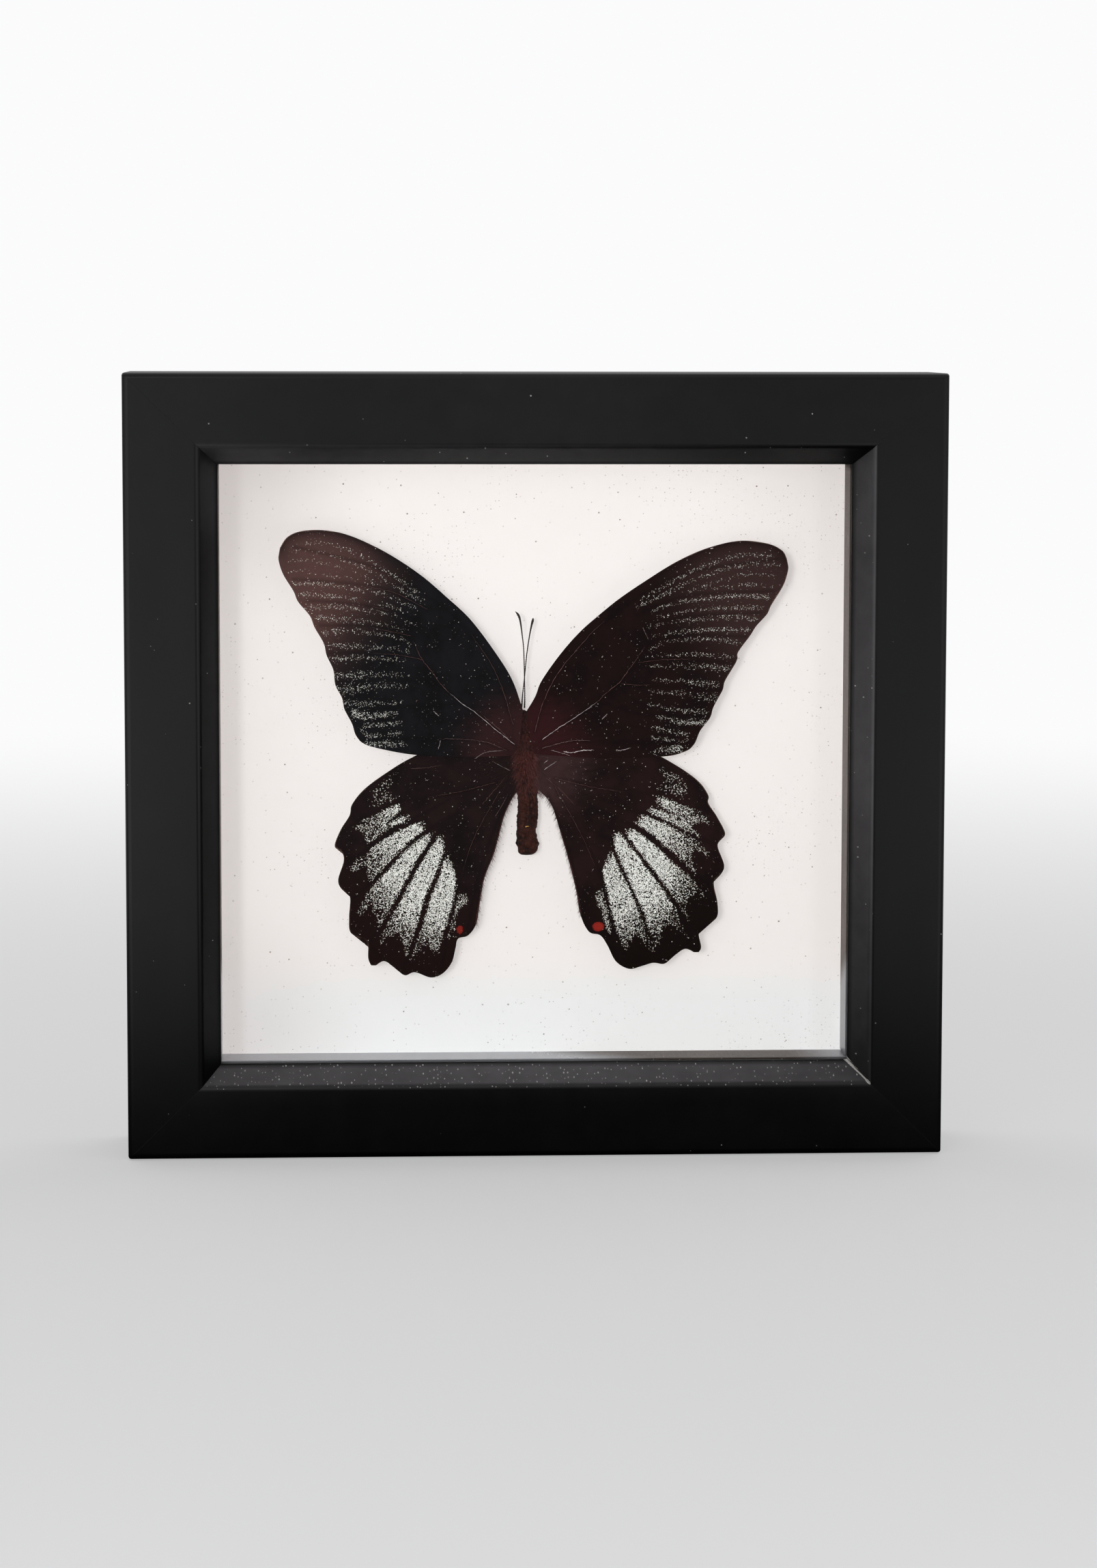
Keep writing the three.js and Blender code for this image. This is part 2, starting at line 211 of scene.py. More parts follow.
def surface(name, grid, paint=None, ends="flat"):
    """A closed mesh from a grid of points, rows by columns, whose last column joins its first.
    ends closes the first and the last row: "flat" with one face each, or "zip" by joining each
    column to its mirror image, as at the edge of a thin sheet. The volume, the sum of a.(b x c) / 6
    over the triangles, is negative if the faces point inwards, and they are then turned."""
    rows, columns = grid.shape[:2]
    points = grid.reshape(-1, 3)
    number = np.arange(rows * columns).reshape(rows, columns)
    ring = np.hstack([number, number[:, :1]])
    corners = [ring[:-1, :-1], ring[:-1, 1:], ring[1:, 1:], ring[1:, :-1]]
    faces = np.stack(corners, -1).reshape(-1, 4)
    caps = [number[0][::-1], number[-1]]
    if ends == "zip":
        half = columns // 2
        strips = []
        for row, turned in ((number[0], 1), (number[-1], -1)):
            near = row[:half]
            far = row[::-1][:half]
            strip = np.stack([near[:-1], far[:-1], far[1:], near[1:]], -1)
            strips.append(strip[:, ::turned])
        faces = np.vstack([faces, *strips])
        caps = []
    fans = [np.stack([np.full(len(c) - 2, c[0]), c[1:-1], c[2:]], -1) for c in caps]
    triangles = np.vstack([faces[:, [0, 1, 2]], faces[:, [0, 2, 3]], *fans])
    a, b, c = (points[triangles[:, k]] for k in range(3))
    corner_lists = faces.tolist() + [cap.tolist() for cap in caps]
    if np.einsum("ij,ij->", a, np.cross(b, c)) < 0:
        corner_lists = [corners[::-1] for corners in corner_lists]
    piece = built(name, points, corner_lists, paint or {})
    for k in range(len(faces), len(corner_lists)):
        piece.data.polygons[k].use_smooth = False
    return piece


def rounded(corners, radii, arc=7):
    """A closed outline whose corners are turned into arcs that touch both sides. Each straight
    stretch keeps a point close to both of its ends and three between them, so that the smooth
    shading of an arc doesn't spread over the flat beside it."""
    corners = np.array(corners, float)
    points = []
    ends = []
    for i, radius in enumerate(radii):
        corner = corners[i]
        back = corners[i - 1] - corner
        ahead = corners[(i + 1) % len(corners)] - corner
        back /= np.linalg.norm(back)
        ahead /= np.linalg.norm(ahead)
        half = math.acos(np.clip(back @ ahead, -1, 1)) / 2
        reach = radius / math.tan(half)
        bisector = (back + ahead) / np.linalg.norm(back + ahead)
        centre = corner + bisector * radius / math.sin(half)
        start = corner + back * reach - centre
        end = corner + ahead * reach - centre
        turn = np.linspace(0, 1, arc)[:, None]
        sweep = math.pi - 2 * half
        both = (np.sin((1 - turn) * sweep) * start + np.sin(turn * sweep) * end) / math.sin(sweep)
        points.append(centre + both)
        ends.append((centre + start, centre + end))
    outline = []
    for i, curve in enumerate(points):
        outline.append(curve)
        begin = ends[i][1]
        stretch = ends[(i + 1) % len(points)][0] - begin
        edge = min(0.2 / np.linalg.norm(stretch), 0.2)
        share = np.array([edge, 0.25, 0.5, 0.75, 1 - edge])[:, None]
        outline.append(begin + stretch * share)
    return np.vstack(outline)


WIDTH, HEIGHT, DEPTH = 190, 182, 32
SLOPE, LIP_DEPTH = 4.2, 7.4  # how far the slope runs inwards and back


def rail_grid(face, other, length):
    """The moulding's section is carried along the rail, whose ends lie on the line from the outer
    corner to the corner of the lips. Near the ends the outer wall turns the corner of the frame by
    an arc of 0.7 mm: a point at inset u below the radius r lies at inset r - (r - u) cos a, and at
    r - (r - u) sin a along the rail from the corner. The front face is hollow by 0.1 mm in places,
    by a product of sines that dies out towards the mitres."""
    lip = face + SLOPE
    lip_back = 8.8
    rebate = lip - 5.2
    corners = [(0, DEPTH), (0, 0), (face, 0), (lip, LIP_DEPTH)]
    corners += [(lip, lip_back), (rebate, lip_back), (rebate, DEPTH)]
    inset, depth = rounded(corners, [0.8, 1.3, 1.5, 0.35, 0.2, 0.2, 0.4]).T
    radius = 0.7
    stations = 91
    glue_gap = 0.004
    angle = np.linspace(0, math.pi / 4, 6)[:, None]
    left = radius - np.minimum(inset, radius)
    turned_inset = np.where(inset < radius, radius - left * np.cos(angle), inset)
    beyond = inset + radius * (math.sqrt(0.5) - np.sin(angle))
    reach = np.where(inset < radius, radius - left * np.sin(angle), beyond)
    end = length / 2 - reach * other / lip - glue_gap
    share = np.sin(np.linspace(-math.pi / 2, math.pi / 2, stations))[:, None]
    along = np.vstack([-end[:0:-1], share * end[0], end[1:]])
    inwards = np.vstack([turned_inset[:0:-1], np.repeat(inset[None], stations, 0), turned_inset[1:]])
    calm = np.clip((length / 2 - 22 - np.abs(along)) / 20, 0, 1)
    hollow = np.sin(math.pi * np.clip((inwards - 2) / (face - 3), 0, 1)) ** 2
    wave = 0.1 * (0.5 + 0.5 * np.sin(along / 23 + face) * np.sin(along / 41 + 2)) * calm * hollow
    depths = np.broadcast_to(depth, along.shape) + wave * (depth < 7)
    return inwards, depths, along


def smooth(value, low, high):
    """A smooth step from 0 at low to 1 at high."""
    t = np.clip((value - low) / (high - low), 0, 1)
    return t * t * (3 - 2 * t)


paint, shader = finish("satin black paint")
broad = shader.noise(38, 3)
cloud = shader.noise(6, 4, 0.6)
orange_peel = shader.noise(1.6, 2)
grain = shader.noise(0.22, 3, 0.7)
dust = shader.specks(3.4, 0.1, 0.13)
fine_dust = shader.specks(0.8, 0.002 + 0.4 * shader.painted("film"), 0.14, shader.flat())
# The worn attribute is painted light: a bright line where light shines through the opened joint.
worn = shader.step(shader.painted("worn") + 0.5 * grain, 0.75, 1.0)
black = shader.mix(shader.step(cloud, 0.3, 0.8), screen(13, 13, 14), screen(17, 17, 18))
# Dust and painted sheen: the dust attribute turns the black towards grey, most on the slopes that face the
# light.
film = shader.mix(shader.painted("dust") * (0.7 + 0.6 * cloud), black, screen(127, 125, 128))
dust_and_sheen_colour = shader.mix(0.2 * dust + 0.9 * fine_dust, film, screen(236, 234, 231))
colour = shader.mix(worn, dust_and_sheen_colour, screen(253, 251, 248))
roughness = 0.25 + 0.07 * cloud + 0.05 * broad + 0.3 * dust + 0.3 * worn + 0.45 * shader.painted("lip")
relief = shader.bump(orange_peel + 0.5 * grain * (0.3 + shader.painted("dust")), 0.006)
# The dust dulls the slopes, which mirror much less than the faces.
values = {"Base Color": colour, "Roughness": roughness, "Normal": relief}
satin = shader.node("BsdfPrincipled", None, {**values, "IOR": 1.55}, "BSDF")
dull = shader.node("BsdfPrincipled", None, {**values, "Specular IOR Level": 0.04}, "BSDF")
surface_output(shader, shader.node("MixShader", None, {0: shader.painted("slope"), 1: satin, 2: dull}))

RIGHT, BOTTOM, TOP = 73.5, 21.1, 160.9  # the opening between the lips, which starts at -RIGHT
# The width of a rail's face, how far the rails at its ends reach inwards, its length, and its place.
sides = {
    "left": (17.3, 21.1, HEIGHT, lambda u, s: (u - WIDTH / 2, HEIGHT / 2 + s)),
    "right": (17.3, 21.1, HEIGHT, lambda u, s: (WIDTH / 2 - u, HEIGHT / 2 - s)),
    "top": (16.9, 21.5, WIDTH, lambda u, s: (s, HEIGHT - u)),
    "bottom": (16.9, 21.5, WIDTH, lambda u, s: (-s, u)),
}
# The dust and painted sheen on each slope, lighter where a slope faces the light: its level at three
# places along the rail (from low to high, or from left to right), and how much of it is left at the upper
# edge of the slope.
slope_dust_and_sheen_levels = {
    "left": ((0.0, 0.07, 0.2), 0.4),
    "right": ((0.18, 0.64, 0.46), 1.25),
    "top": ((0.37, 0.2, 0.0), 0.75),
    "bottom": ((0.8, 0.95, 0.72), 0.85),
}
for side, (face, other, length, turn) in sides.items():
    inwards, depths, along = rail_grid(face, other, length)
    x, z = turn(inwards, along)
    on_slope = (inwards > face - 0.5) & (depths < 8)
    # The joint of the bottom right corner has opened. A bright line of painted light, shining through
    # the gap, runs along it on the slope, with a dark crack in it.
    mitre = np.abs((x - RIGHT) / (WIDTH / 2 - RIGHT) + (z - BOTTOM) / BOTTOM) * 15
    opening = 0.34 + 0.4 * smooth(depths, 4.6, 6.6) + 0.1 * np.sin(5 * depths)
    crack = np.exp(-(((mitre - 0.2 - 0.08 * np.sin(2.6 * depths)) / 0.07) ** 2)) * smooth(depths, 1.5, 4)
    joint_light_line = np.clip(1.35 - mitre / opening, 0, 1) * (x > 70) * (z < 25) * on_slope
    joint_light_line = joint_light_line * (1 - crack * (side == "right"))
    levels, upper = slope_dust_and_sheen_levels[side]
    if side in ("left", "right"):
        place = np.interp(z, (25, 91, 157), levels)
    else:
        place = np.interp(x, (-70, 0, 70), levels)
    fall = upper + (1 - upper) * np.clip((inwards - face) / SLOPE, 0, 1)
    lip = smooth(depths, 6.7, 7.4) * (inwards > face) * (depths < 20)
    # Painted sheen with some dust on the slopes, lighter where they face the light.
    slope_dust_and_sheen = place * fall * on_slope * (1 - lip)
    film = slope_dust_and_sheen * (1.0 if side == "bottom" else 0.12)
    if side == "bottom":
        slope_dust_and_sheen = slope_dust_and_sheen * smooth(depths, -0.2, 1.0)
        # A painted highlight on the bottom face along its arris.
        slope_dust_and_sheen += 0.07 * np.exp(-np.abs(inwards - face) / 1.4) * (depths < 1)
    else:
        # A painted highlight in the middle of the top face, and painted highlights along the arrises of
        # the top and right rails.
        painted_face_highlight = 0.05 * np.exp(-(((x - 4) / 38) ** 2)) * (side == "top") * (inwards < face)
        painted_arris_highlight = 0.22 * place * np.exp(-(((inwards - face) / 0.4) ** 2)) * (side != "left")
        slope_dust_and_sheen += (painted_face_highlight + painted_arris_highlight) * (depths < 1)
    slope = smooth(inwards, face - 0.4, face + 0.4) * (depths < 8)
    grid = np.stack([x, depths - DEPTH / 2, z], -1)
    # The dust attribute holds painted sheen and painted highlights along with the dust.
    paint_on = {"worn": joint_light_line, "dust": slope_dust_and_sheen, "film": film, "lip": lip, "slope": slope}
    rail = surface(f"rail_{side}", grid, paint_on)
    rail.data.materials.append(paint)
    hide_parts(f"frame_rail_{side}")
    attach(rail, "root")

# ------------------------------------------------------------- steel tabs, hanger and its nails
# Thin tabs of plated spring steel, driven into the rebate behind the backing and bent down on it,
# and a pressed sawtooth hanger with two nails. The plate is dull, with fine marks of the rolling.


def recoat(name, material):
    """Gives a solid of the part this material in place of its own."""
    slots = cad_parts[name].data.materials
    slots.clear()
    slots.append(material)


steel, shader = finish("dull plated steel")
drawn = shader.noise(0.18, 3, 0.6, shader.stretched(14, 1, 1))
stain = shader.noise(3.2, 4, 0.6)
tarnish = shader.step(stain, 0.5, 0.75)
colour = shader.mix(0.7 * tarnish, screen(176, 176, 174), screen(112, 104, 96))
colour = shader.mix(0.35 * drawn, colour, screen(120, 121, 122))
solid(shader, colour, 0.3 + 0.2 * drawn + 0.2 * tarnish, shader.bump(drawn, 0.01), Metallic=0.95)
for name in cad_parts:
    if name.startswith(("steel_tab", "sawtooth", "hanger_nail")):
        recoat(name, steel)

# --------------------------------------------------------------------------------- glass pane
# A sheet of 2 mm float glass, cut to the rebate. It lies loose behind the lip, where the strips
# hold it, and it has a little dust on it.

glass, shader = finish("float glass")
smear = shader.noise(30, 3, 0.6)
dust = shader.specks(3.4, 0.1, 0.12)
mirror = shader.node("BsdfAnisotropic", None, {"Color": (1, 1, 1, 1), "Roughness": 0.01 + 0.03 * smear})
clear = shader.node("BsdfTransparent", None, {"Color": (0.985, 0.992, 0.988, 1)})
# Either face mirrors 0.04 of the light that falls straight on it, and all of it at a grazing angle.
facing = shader.node("LayerWeight", None, {"Blend": 0.5}, "Facing")
mirrored = 0.04 + 0.96 * facing * facing * facing * facing * facing
pane = shader.node("MixShader", None, {0: mirrored, 1: clear, 2: mirror})
powder = shader.node("BsdfDiffuse", None, {"Color": screen(120, 118, 116)})
surface_output(shader, shader.node("MixShader", None, {0: 0.5 * dust, 1: pane, 2: powder}))
recoat("glass_pane", glass)

# ------------------------------------------------------------------------------- spacer strips
# Four thin strips of wood stand between glass and card, flush with the lip. Low down on the left
# and on the right they are pale grey and smooth, and elsewhere brown and matt.

strip_paint, shader = finish("brushed gloss black")
across, back, up = shader.axes()
streak = shader.noise(0.5, 3, 0.6, shader.stretched(1, 9, 1))
blotch = shader.noise(9, 3, 0.5)
grit = shader.specks(0.9, 0.22, 0.13)
low = shader.drop(up + 0.5 * back, 0.038, 0.045)
gloss_left = shader.drop(across + 1.2 * back, 0.002, 0.026)
gloss_right = 0.8 * shader.step(across, 0.06, 0.0745)
gloss = (gloss_left + gloss_right) * low
bare = shader.mix(blotch, screen(74, 62, 56), screen(136, 120, 110))
bare = shader.mix(0.6 * streak, bare, screen(52, 44, 40))
pale_grey = shader.mix(0.5 * streak, screen(176, 176, 184), screen(150, 150, 158))
colour = shader.mix(0.8 * grit, shader.mix(gloss, bare, pale_grey), screen(226, 222, 218))
roughness = 0.5 - 0.3 * gloss + 0.1 * streak
solid(shader, colour, roughness, shader.bump(streak, 0.01), IOR=1.5)
strip_lines = {
    "left": ((-78.4, -73.5), (21.4, 160.6), True),
    "right": ((73.5, 78.4), (21.4, 160.6), True),
    "bottom": ((16.2, 21.1), (-78.4, 78.4), False),
    "top": ((160.9, 165.8), (-78.4, 78.4), False),
}
for side, (across, along, upright) in strip_lines.items():
    corners = [(across[0], -4.6), (across[1], -4.6), (across[1], 6.1), (across[0], 6.1)]
    u, y = rounded(corners, [0.35, 0.35, 0.35, 0.35], 5).T
    s = np.linspace(*along, 81)[:, None]
    u = u + 0.04 * np.sin(s / 17 + across[0]) * (np.abs(u - np.mean(across)) < 2.4)
    u, y, s = np.broadcast_arrays(u, y, s)
    grid = np.stack([u, y, s] if upright else [s, y, u], -1)
    strip = surface(f"strip_{side}", grid)
    strip.data.materials.append(strip_paint)
    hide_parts(f"spacer_strip_{side}")
    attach(strip, "root")

# ----------------------------------------------------------------------------------- mount card
# A sheet of thick white card, glued to nothing and held by the strips. Its face is smooth with a
# faint fibre, and it has caught dust, scales and hairs of the butterfly.


def sheet(name, front, thickness, paint=None):
    """A thin closed sheet: the grid of its front face, and the same grid further back by its
    thickness along Y, joined along all four edges."""
    behind = front + np.array([0, 1, 0]) * np.asarray(thickness)[..., None]
    grid = np.concatenate([front, behind[:, ::-1]], 1)
    both = {title: np.concatenate([v, v[:, ::-1]], 1) for title, v in (paint or {}).items()}
    return surface(name, grid, both, "zip")


card_white, shader = finish("white card")
fibre = shader.noise(0.3, 4, 0.7)
pulp = shader.noise(5, 3, 0.6)
warp = shader.noise(0.35, 2, 0.5, shader.stretched(9, 1, 1))
weft = shader.noise(0.35, 2, 0.5, shader.stretched(1, 1, 9))
across, _, up = shader.axes()
flat = shader.flat()
# Painted light: the card is cooler below about 40 mm and warmer above, where the light behind it changes.
warm = shader.mix(pulp, screen(249, 242, 240), screen(246, 239, 237))
cool = shader.mix(pulp, screen(243, 242, 242), screen(239, 239, 239))
white = shader.mix(shader.step(up + 0.004 * pulp, 0.034, 0.046), cool, warm)
# Painted shade: darker bands along the left, right and top edges, where the frame keeps light from the
# card, with a faint weave in them, and darker towards the left lip.
left_shade_band = shader.drop(across, -0.0700, -0.0672)
right_shade_band = shader.step(across, 0.0650, 0.0690)
top_shade_band = shader.step(up, 0.1570, 0.1590)
weave = 0.12 * (left_shade_band + right_shade_band + top_shade_band) * (warp + weft - 0.5)
edge_shade = 0.45 * left_shade_band + 0.08 * right_shade_band + weave + 0.22 * shader.drop(across, -0.078, -0.035)
white = shader.mix(edge_shade, white, screen(216, 208, 206))
# Painted shade in three corners of the opening.
for x, z, share in ((-RIGHT, TOP, 0.6), (RIGHT, TOP, 0.3), (-RIGHT, BOTTOM, 0.5)):
    corner = (x / 1000, z / 1000, 0)
    distance = shader.node("VectorMath", {"operation": "DISTANCE"}, {0: flat, 1: corner}, "Value")
    white = shader.mix(share * shader.drop(distance, 0.0, 0.042), white, screen(206, 198, 196))
grime = shader.specks(1.0, 0.1 + 0.42 * shader.step(shader.noise(28, 2), 0.4, 0.7), 0.09, flat)
crumb = shader.specks(6.5, 0.6, 0.16, flat)
marked = shader.mix(0.8 * grime + 0.9 * crumb, white, screen(112, 84, 78))
solid(shader, marked, 0.85, shader.bump(fibre + 0.4 * pulp, 0.008), Specular_IOR_Level=0.25)
x, z = np.meshgrid(np.linspace(-78.4, 78.4, 121), np.linspace(16.2, 165.8, 115), indexing="ij")
bow = 0.06 * np.sin(x / 31 + 1) * np.cos(z / 27)
card = sheet("card", np.stack([x, 6.46 + bow, z], -1), 1.88 - bow)
card.data.materials.append(card_white)
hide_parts("mount_card")
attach(card, "root")

# ------------------------------------------------------------------------------- backing board
# A sheet of brown hardboard, cut to the rebate and held by the tabs: pressed wood fibre with dark
# and pale flecks.

board, shader = finish("hardboard")
fibre = shader.noise(0.6, 5, 0.7, shader.stretched(3, 1, 1))
flake = shader.noise(2.4, 3, 0.6)
colour = shader.mix(shader.step(fibre, 0.3, 0.7), screen(112, 80, 52), screen(150, 114, 78))
colour = shader.mix(0.5 * shader.step(flake, 0.5, 0.75), colour, screen(92, 62, 40))
solid(shader, colour, 0.7 + 0.15 * fibre, shader.bump(fibre + 0.5 * flake, 0.06))
recoat("backing_board", board)

# ----------------------------------------------------------------------------------------- wings
# Dried membranes that overlap at the middle, glued to the card through the body. They are covered
# with dark scales. White scales lie in rays on the forewings and in a fan on the hindwings.


MIDLINE = -2  # the butterfly's, across
FAN_ROOT = 88  # the height that the fans spread from
# Each pair of wings lies in a plane: its depth at the midline, and how far it comes forward per
# millimetre to either side.
FORE, HIND = (0.2, 0.025), (1.05, 0.02)


def spline(points, count, measured=2):
    """A uniform Catmull-Rom curve through the points, cut into pieces of equal length."""
    points = np.array(points, float)
    last = len(points) - 1
    t = np.linspace(0, last, 40 * last + 1)
    i = np.minimum(t.astype(int), last - 1)
    w = (t - i)[:, None]
    before, start = points[np.maximum(i - 1, 0)], points[i]
    end, after = points[i + 1], points[np.minimum(i + 2, last)]
    v0 = (end - before) / 2
    v1 = (after - start) / 2
    cubic = 2 * start - 2 * end + v0 + v1
    square = 3 * end - 3 * start - 2 * v0 - v1
    curve = cubic * w**3 + square * w**2 + v0 * w + start
    steps = np.linalg.norm(np.diff(curve[:, :measured], axis=0), axis=1)
    length = np.concatenate([[0], np.cumsum(steps)])
    wanted = np.linspace(0, length[-1], count + 1)
    return np.stack([np.interp(wanted, length, column) for column in curve.T], -1)


def nearest(x, z, line):
    """For each point, its distance to a line of straight pieces, and how far along the line the
    nearest place lies, from 0 to 1."""
    line = np.array(line, float)
    steps = np.linalg.norm(np.diff(line, axis=0), axis=1)
    travelled = np.concatenate([[0], np.cumsum(steps)])
    best = np.full(x.shape, 1e9)
    along = np.zeros(x.shape)
    for k, (a, b) in enumerate(zip(line[:-1], line[1:])):
        d = b - a
        t = np.clip(((x - a[0]) * d[0] + (z - a[1]) * d[1]) / (d @ d), 0, 1)
        distance = np.hypot(x - a[0] - t * d[0], z - a[1] - t * d[1])
        closer = distance < best
        best = np.where(closer, distance, best)
        along = np.where(closer, (travelled[k] + t * steps[k]) / travelled[-1], along)
    return best, along


def ray_share(x, z, rays):
    """The share of white scales in the rays. A ray is (width and share at its outer end, width and
    share at its inner end, line). Its share falls with the distance d as exp(-(d / 0.52 w)^3)."""
    share = np.zeros(x.shape)
    for outer_width, outer_share, inner_width, inner_share, line in rays:
        distance, along = nearest(x, z, spline(line, 24))
        width = outer_width + (inner_width - outer_width) * along
        level = outer_share + (inner_share - outer_share) * along
        share = np.maximum(share, level * np.exp(-((distance / (0.52 * width)) ** 3)))
    return share


def fan_share(x, z, cells):
    """The share of white scales in the cells of a fan. A cell is (share, the part of it that is left
    at the outer end, outline). The share falls to nothing across the cell's edge, by the signed
    distance to the outline, and fades towards its two ends, by the distance from the wing's root."""
    share = np.zeros(x.shape)
    for core, rim, outline in cells:
        closed = np.array(outline + outline[:1], float)
        distance = nearest(x, z, closed)[0]
        inside = np.zeros(x.shape, bool)
        for (ax, az), (bx, bz) in zip(closed[:-1], closed[1:]):
            crosses = (az > z) != (bz > z)
            slope = (bx - ax) / (bz - az) if bz != az else 0.0
            inside ^= crosses & (x < ax + (z - az) * slope)
        depth = np.where(inside, distance, -distance)
        reach = np.hypot(x - MIDLINE, z - FAN_ROOT)
        spread = np.hypot(closed[:, 0] - MIDLINE, closed[:, 1] - FAN_ROOT)
        level = core + (rim * core - core) * smooth(reach, spread.max() - 14, spread.max() - 3)
        level = level * smooth(reach, spread.min() - 0.5, spread.min() + 3)
        share = np.maximum(share, level * smooth(depth, -0.35, 0.4))
    return share


def wing_face(x, z, front, lift):
    """The depth of a wing's face at its veins. It comes nearer to the glass away from the body,
    and it is slack: a wave of 0.1 mm and one of 0.05 mm, as products of sines."""
    slack = 0.1 * np.sin(x / 5.3 + z / 9) * np.cos(z / 6.1 - x / 11) + 0.05 * np.sin(x / 1.9 - z / 2.3)
    return front - lift * np.abs(x - MIDLINE) + slack


def wing_grid(leading, trailing, plane, veins, long, wide):
    """Both edges are cut into equal shares from root to tip, and the wing is ruled between them.
    Between the veins its face lies 0.12 mm back, by a bell curve of the distance to a vein."""
    edges = spline(trailing, long), spline(leading, long)
    across = np.linspace(0, 1, wide + 1)[None, :, None]
    flat = edges[0][:, None] * (1 - across) + edges[1][:, None] * across
    x, z = flat[..., 0], flat[..., 1]
    ridge = np.zeros(x.shape)
    for line in veins:
        ridge = np.maximum(ridge, np.exp(-((nearest(x, z, spline(line, 16))[0] / 0.45) ** 2)))
    y = wing_face(x, z, *plane) + 0.12 * (1 - ridge)
    return np.stack([x, y, z], -1), ridge


wings = {}
wings["forewing_left"] = {
    "leading": [
        (-2.6, 103.2), (-5, 110), (-8.6, 116), (-14.7, 124.2), (-20.5, 129.7), (-26.7, 135),
        (-34.5, 140.1), (-42.5, 143.9), (-48.5, 145.3), (-54, 145.2), (-57.5, 143.8), (-59.3, 141.2),
    ],
    "trailing": [
        (-3.4, 92.6), (-9, 92.2), (-18, 92.2), (-27.8, 92.7), (-35.2, 94), (-39.7, 95.3), (-41.7, 97.3),
        (-42.7, 100.2), (-44.4, 103.5), (-45, 106.2), (-46.5, 109.2), (-47, 112.8), (-48.5, 116.1),
        (-49.2, 119), (-51.3, 122.7), (-52.4, 125.4), (-55.1, 128.7), (-56.2, 131.2), (-58.6, 135.2),
        (-59.6, 138.4), (-59.5, 140),
    ],
    "rays": [
        (0.9, 0.06, 0.9, 0.17, [(-55.5, 142.4), (-50, 142.4), (-44, 140.9), (-39, 138.7), (-33, 134.8),
            (-27.5, 130.9)]),
        (0.9, 0.07, 1.1, 0.15, [(-56.5, 140.6), (-50.5, 140.3), (-43, 138), (-37, 135.2),
            (-31.5, 131.5), (-26, 128.8)]),
        (0.7, 0.09, 0.8, 0.09, [(-57, 138), (-53, 138.4), (-47, 137.2), (-40.5, 135.2), (-36.2, 132.4)]),
        (0.6, 0.06, 0.7, 0.08, [(-57, 135.5), (-55, 136), (-50, 135.1), (-43, 134), (-37.5, 132.8)]),
        (1, 0.21, 1, 0.11, [(-56, 132.9), (-49.5, 132.8), (-43, 131.9), (-37, 130.8), (-31.5, 128.8),
            (-27.5, 127)]),
        (1.1, 0.19, 0.9, 0.06, [(-54.5, 130.3), (-47, 130), (-41, 129), (-35, 127.8), (-28, 126)]),
        (1.3, 0.21, 0.7, 0.08, [(-52.6, 127.4), (-45, 127.4), (-39, 126.6), (-33, 125.3), (-28, 123.5)]),
        (1.4, 0.21, 0.9, 0.1, [(-50.5, 124.9), (-43, 124.3), (-37, 123.6), (-33, 122.9), (-30.3, 121.8)]),
        (1.4, 0.21, 0.6, 0.1, [(-49, 121.5), (-44, 122), (-38, 121.4), (-32, 120.3), (-29.5, 119),
            (-28.8, 117.2)]),
        (1.3, 0.21, 0.9, 0.11, [(-48, 118.4), (-41, 118.2), (-33, 117.8), (-29.5, 117)]),
        (1.5, 0.21, 0.9, 0.1, [(-47.3, 115.3), (-43, 115.5), (-39, 115.7), (-35, 115.3), (-29.7, 114.6)]),
        (1.9, 0.21, 0.9, 0.1, [(-45.6, 111.4), (-37, 111.6), (-29.7, 111.3)]),
        (2.1, 0.21, 0.9, 0.1, [(-45.2, 108.3), (-43, 108.1), (-37, 108.9), (-29.8, 108.9)]),
        (1.6, 0.21, 0.9, 0.13, [(-43.6, 105), (-40, 104.6), (-31.2, 105.1)]),
        (1.8, 0.46, 1.1, 0.2, [(-42, 102.5), (-40, 101.9), (-36, 102), (-32.3, 102.6)]),
        (0.9, 0.2, 1.3, 0.18, [(-31.3, 100.2), (-36, 99.8), (-39.2, 99.5), (-40.2, 98.5), (-39, 97.3),
            (-35, 97.4), (-31.5, 97.7)]),
        (1.6, 0.34, 1.2, 0.2, [(-38.8, 95.2), (-35, 95.3), (-30.2, 95.3)]),
    ],
    "veins": [
        [(-4.5, 95), (-11, 100.3), (-17, 104.8), (-22, 109.5), (-26.2, 115.1), (-28.4, 119.7)],
        [(-26.2, 115.1), (-31, 116.1), (-38, 116.7), (-47.8, 116.8)],
        [(-28.4, 119.7), (-32, 121.4), (-39, 123), (-50, 123.2)],
        [(-27, 124.6), (-34, 126.6), (-42, 128.2), (-53, 129)],
        [(-25, 126.8), (-32.5, 130.7), (-41, 132.7), (-56, 134)],
        [(-5, 100), (-9.5, 113), (-15, 121.5), (-25, 130), (-38, 137), (-56, 141.5)],
        [(-22, 109.5), (-30, 110.3), (-46, 110)],
        [(-17, 104.8), (-26, 104.2), (-43.5, 103.6)],
        [(-6.5, 93.7), (-14, 96.1), (-23, 96.5), (-40.5, 96.3)],
    ],
}
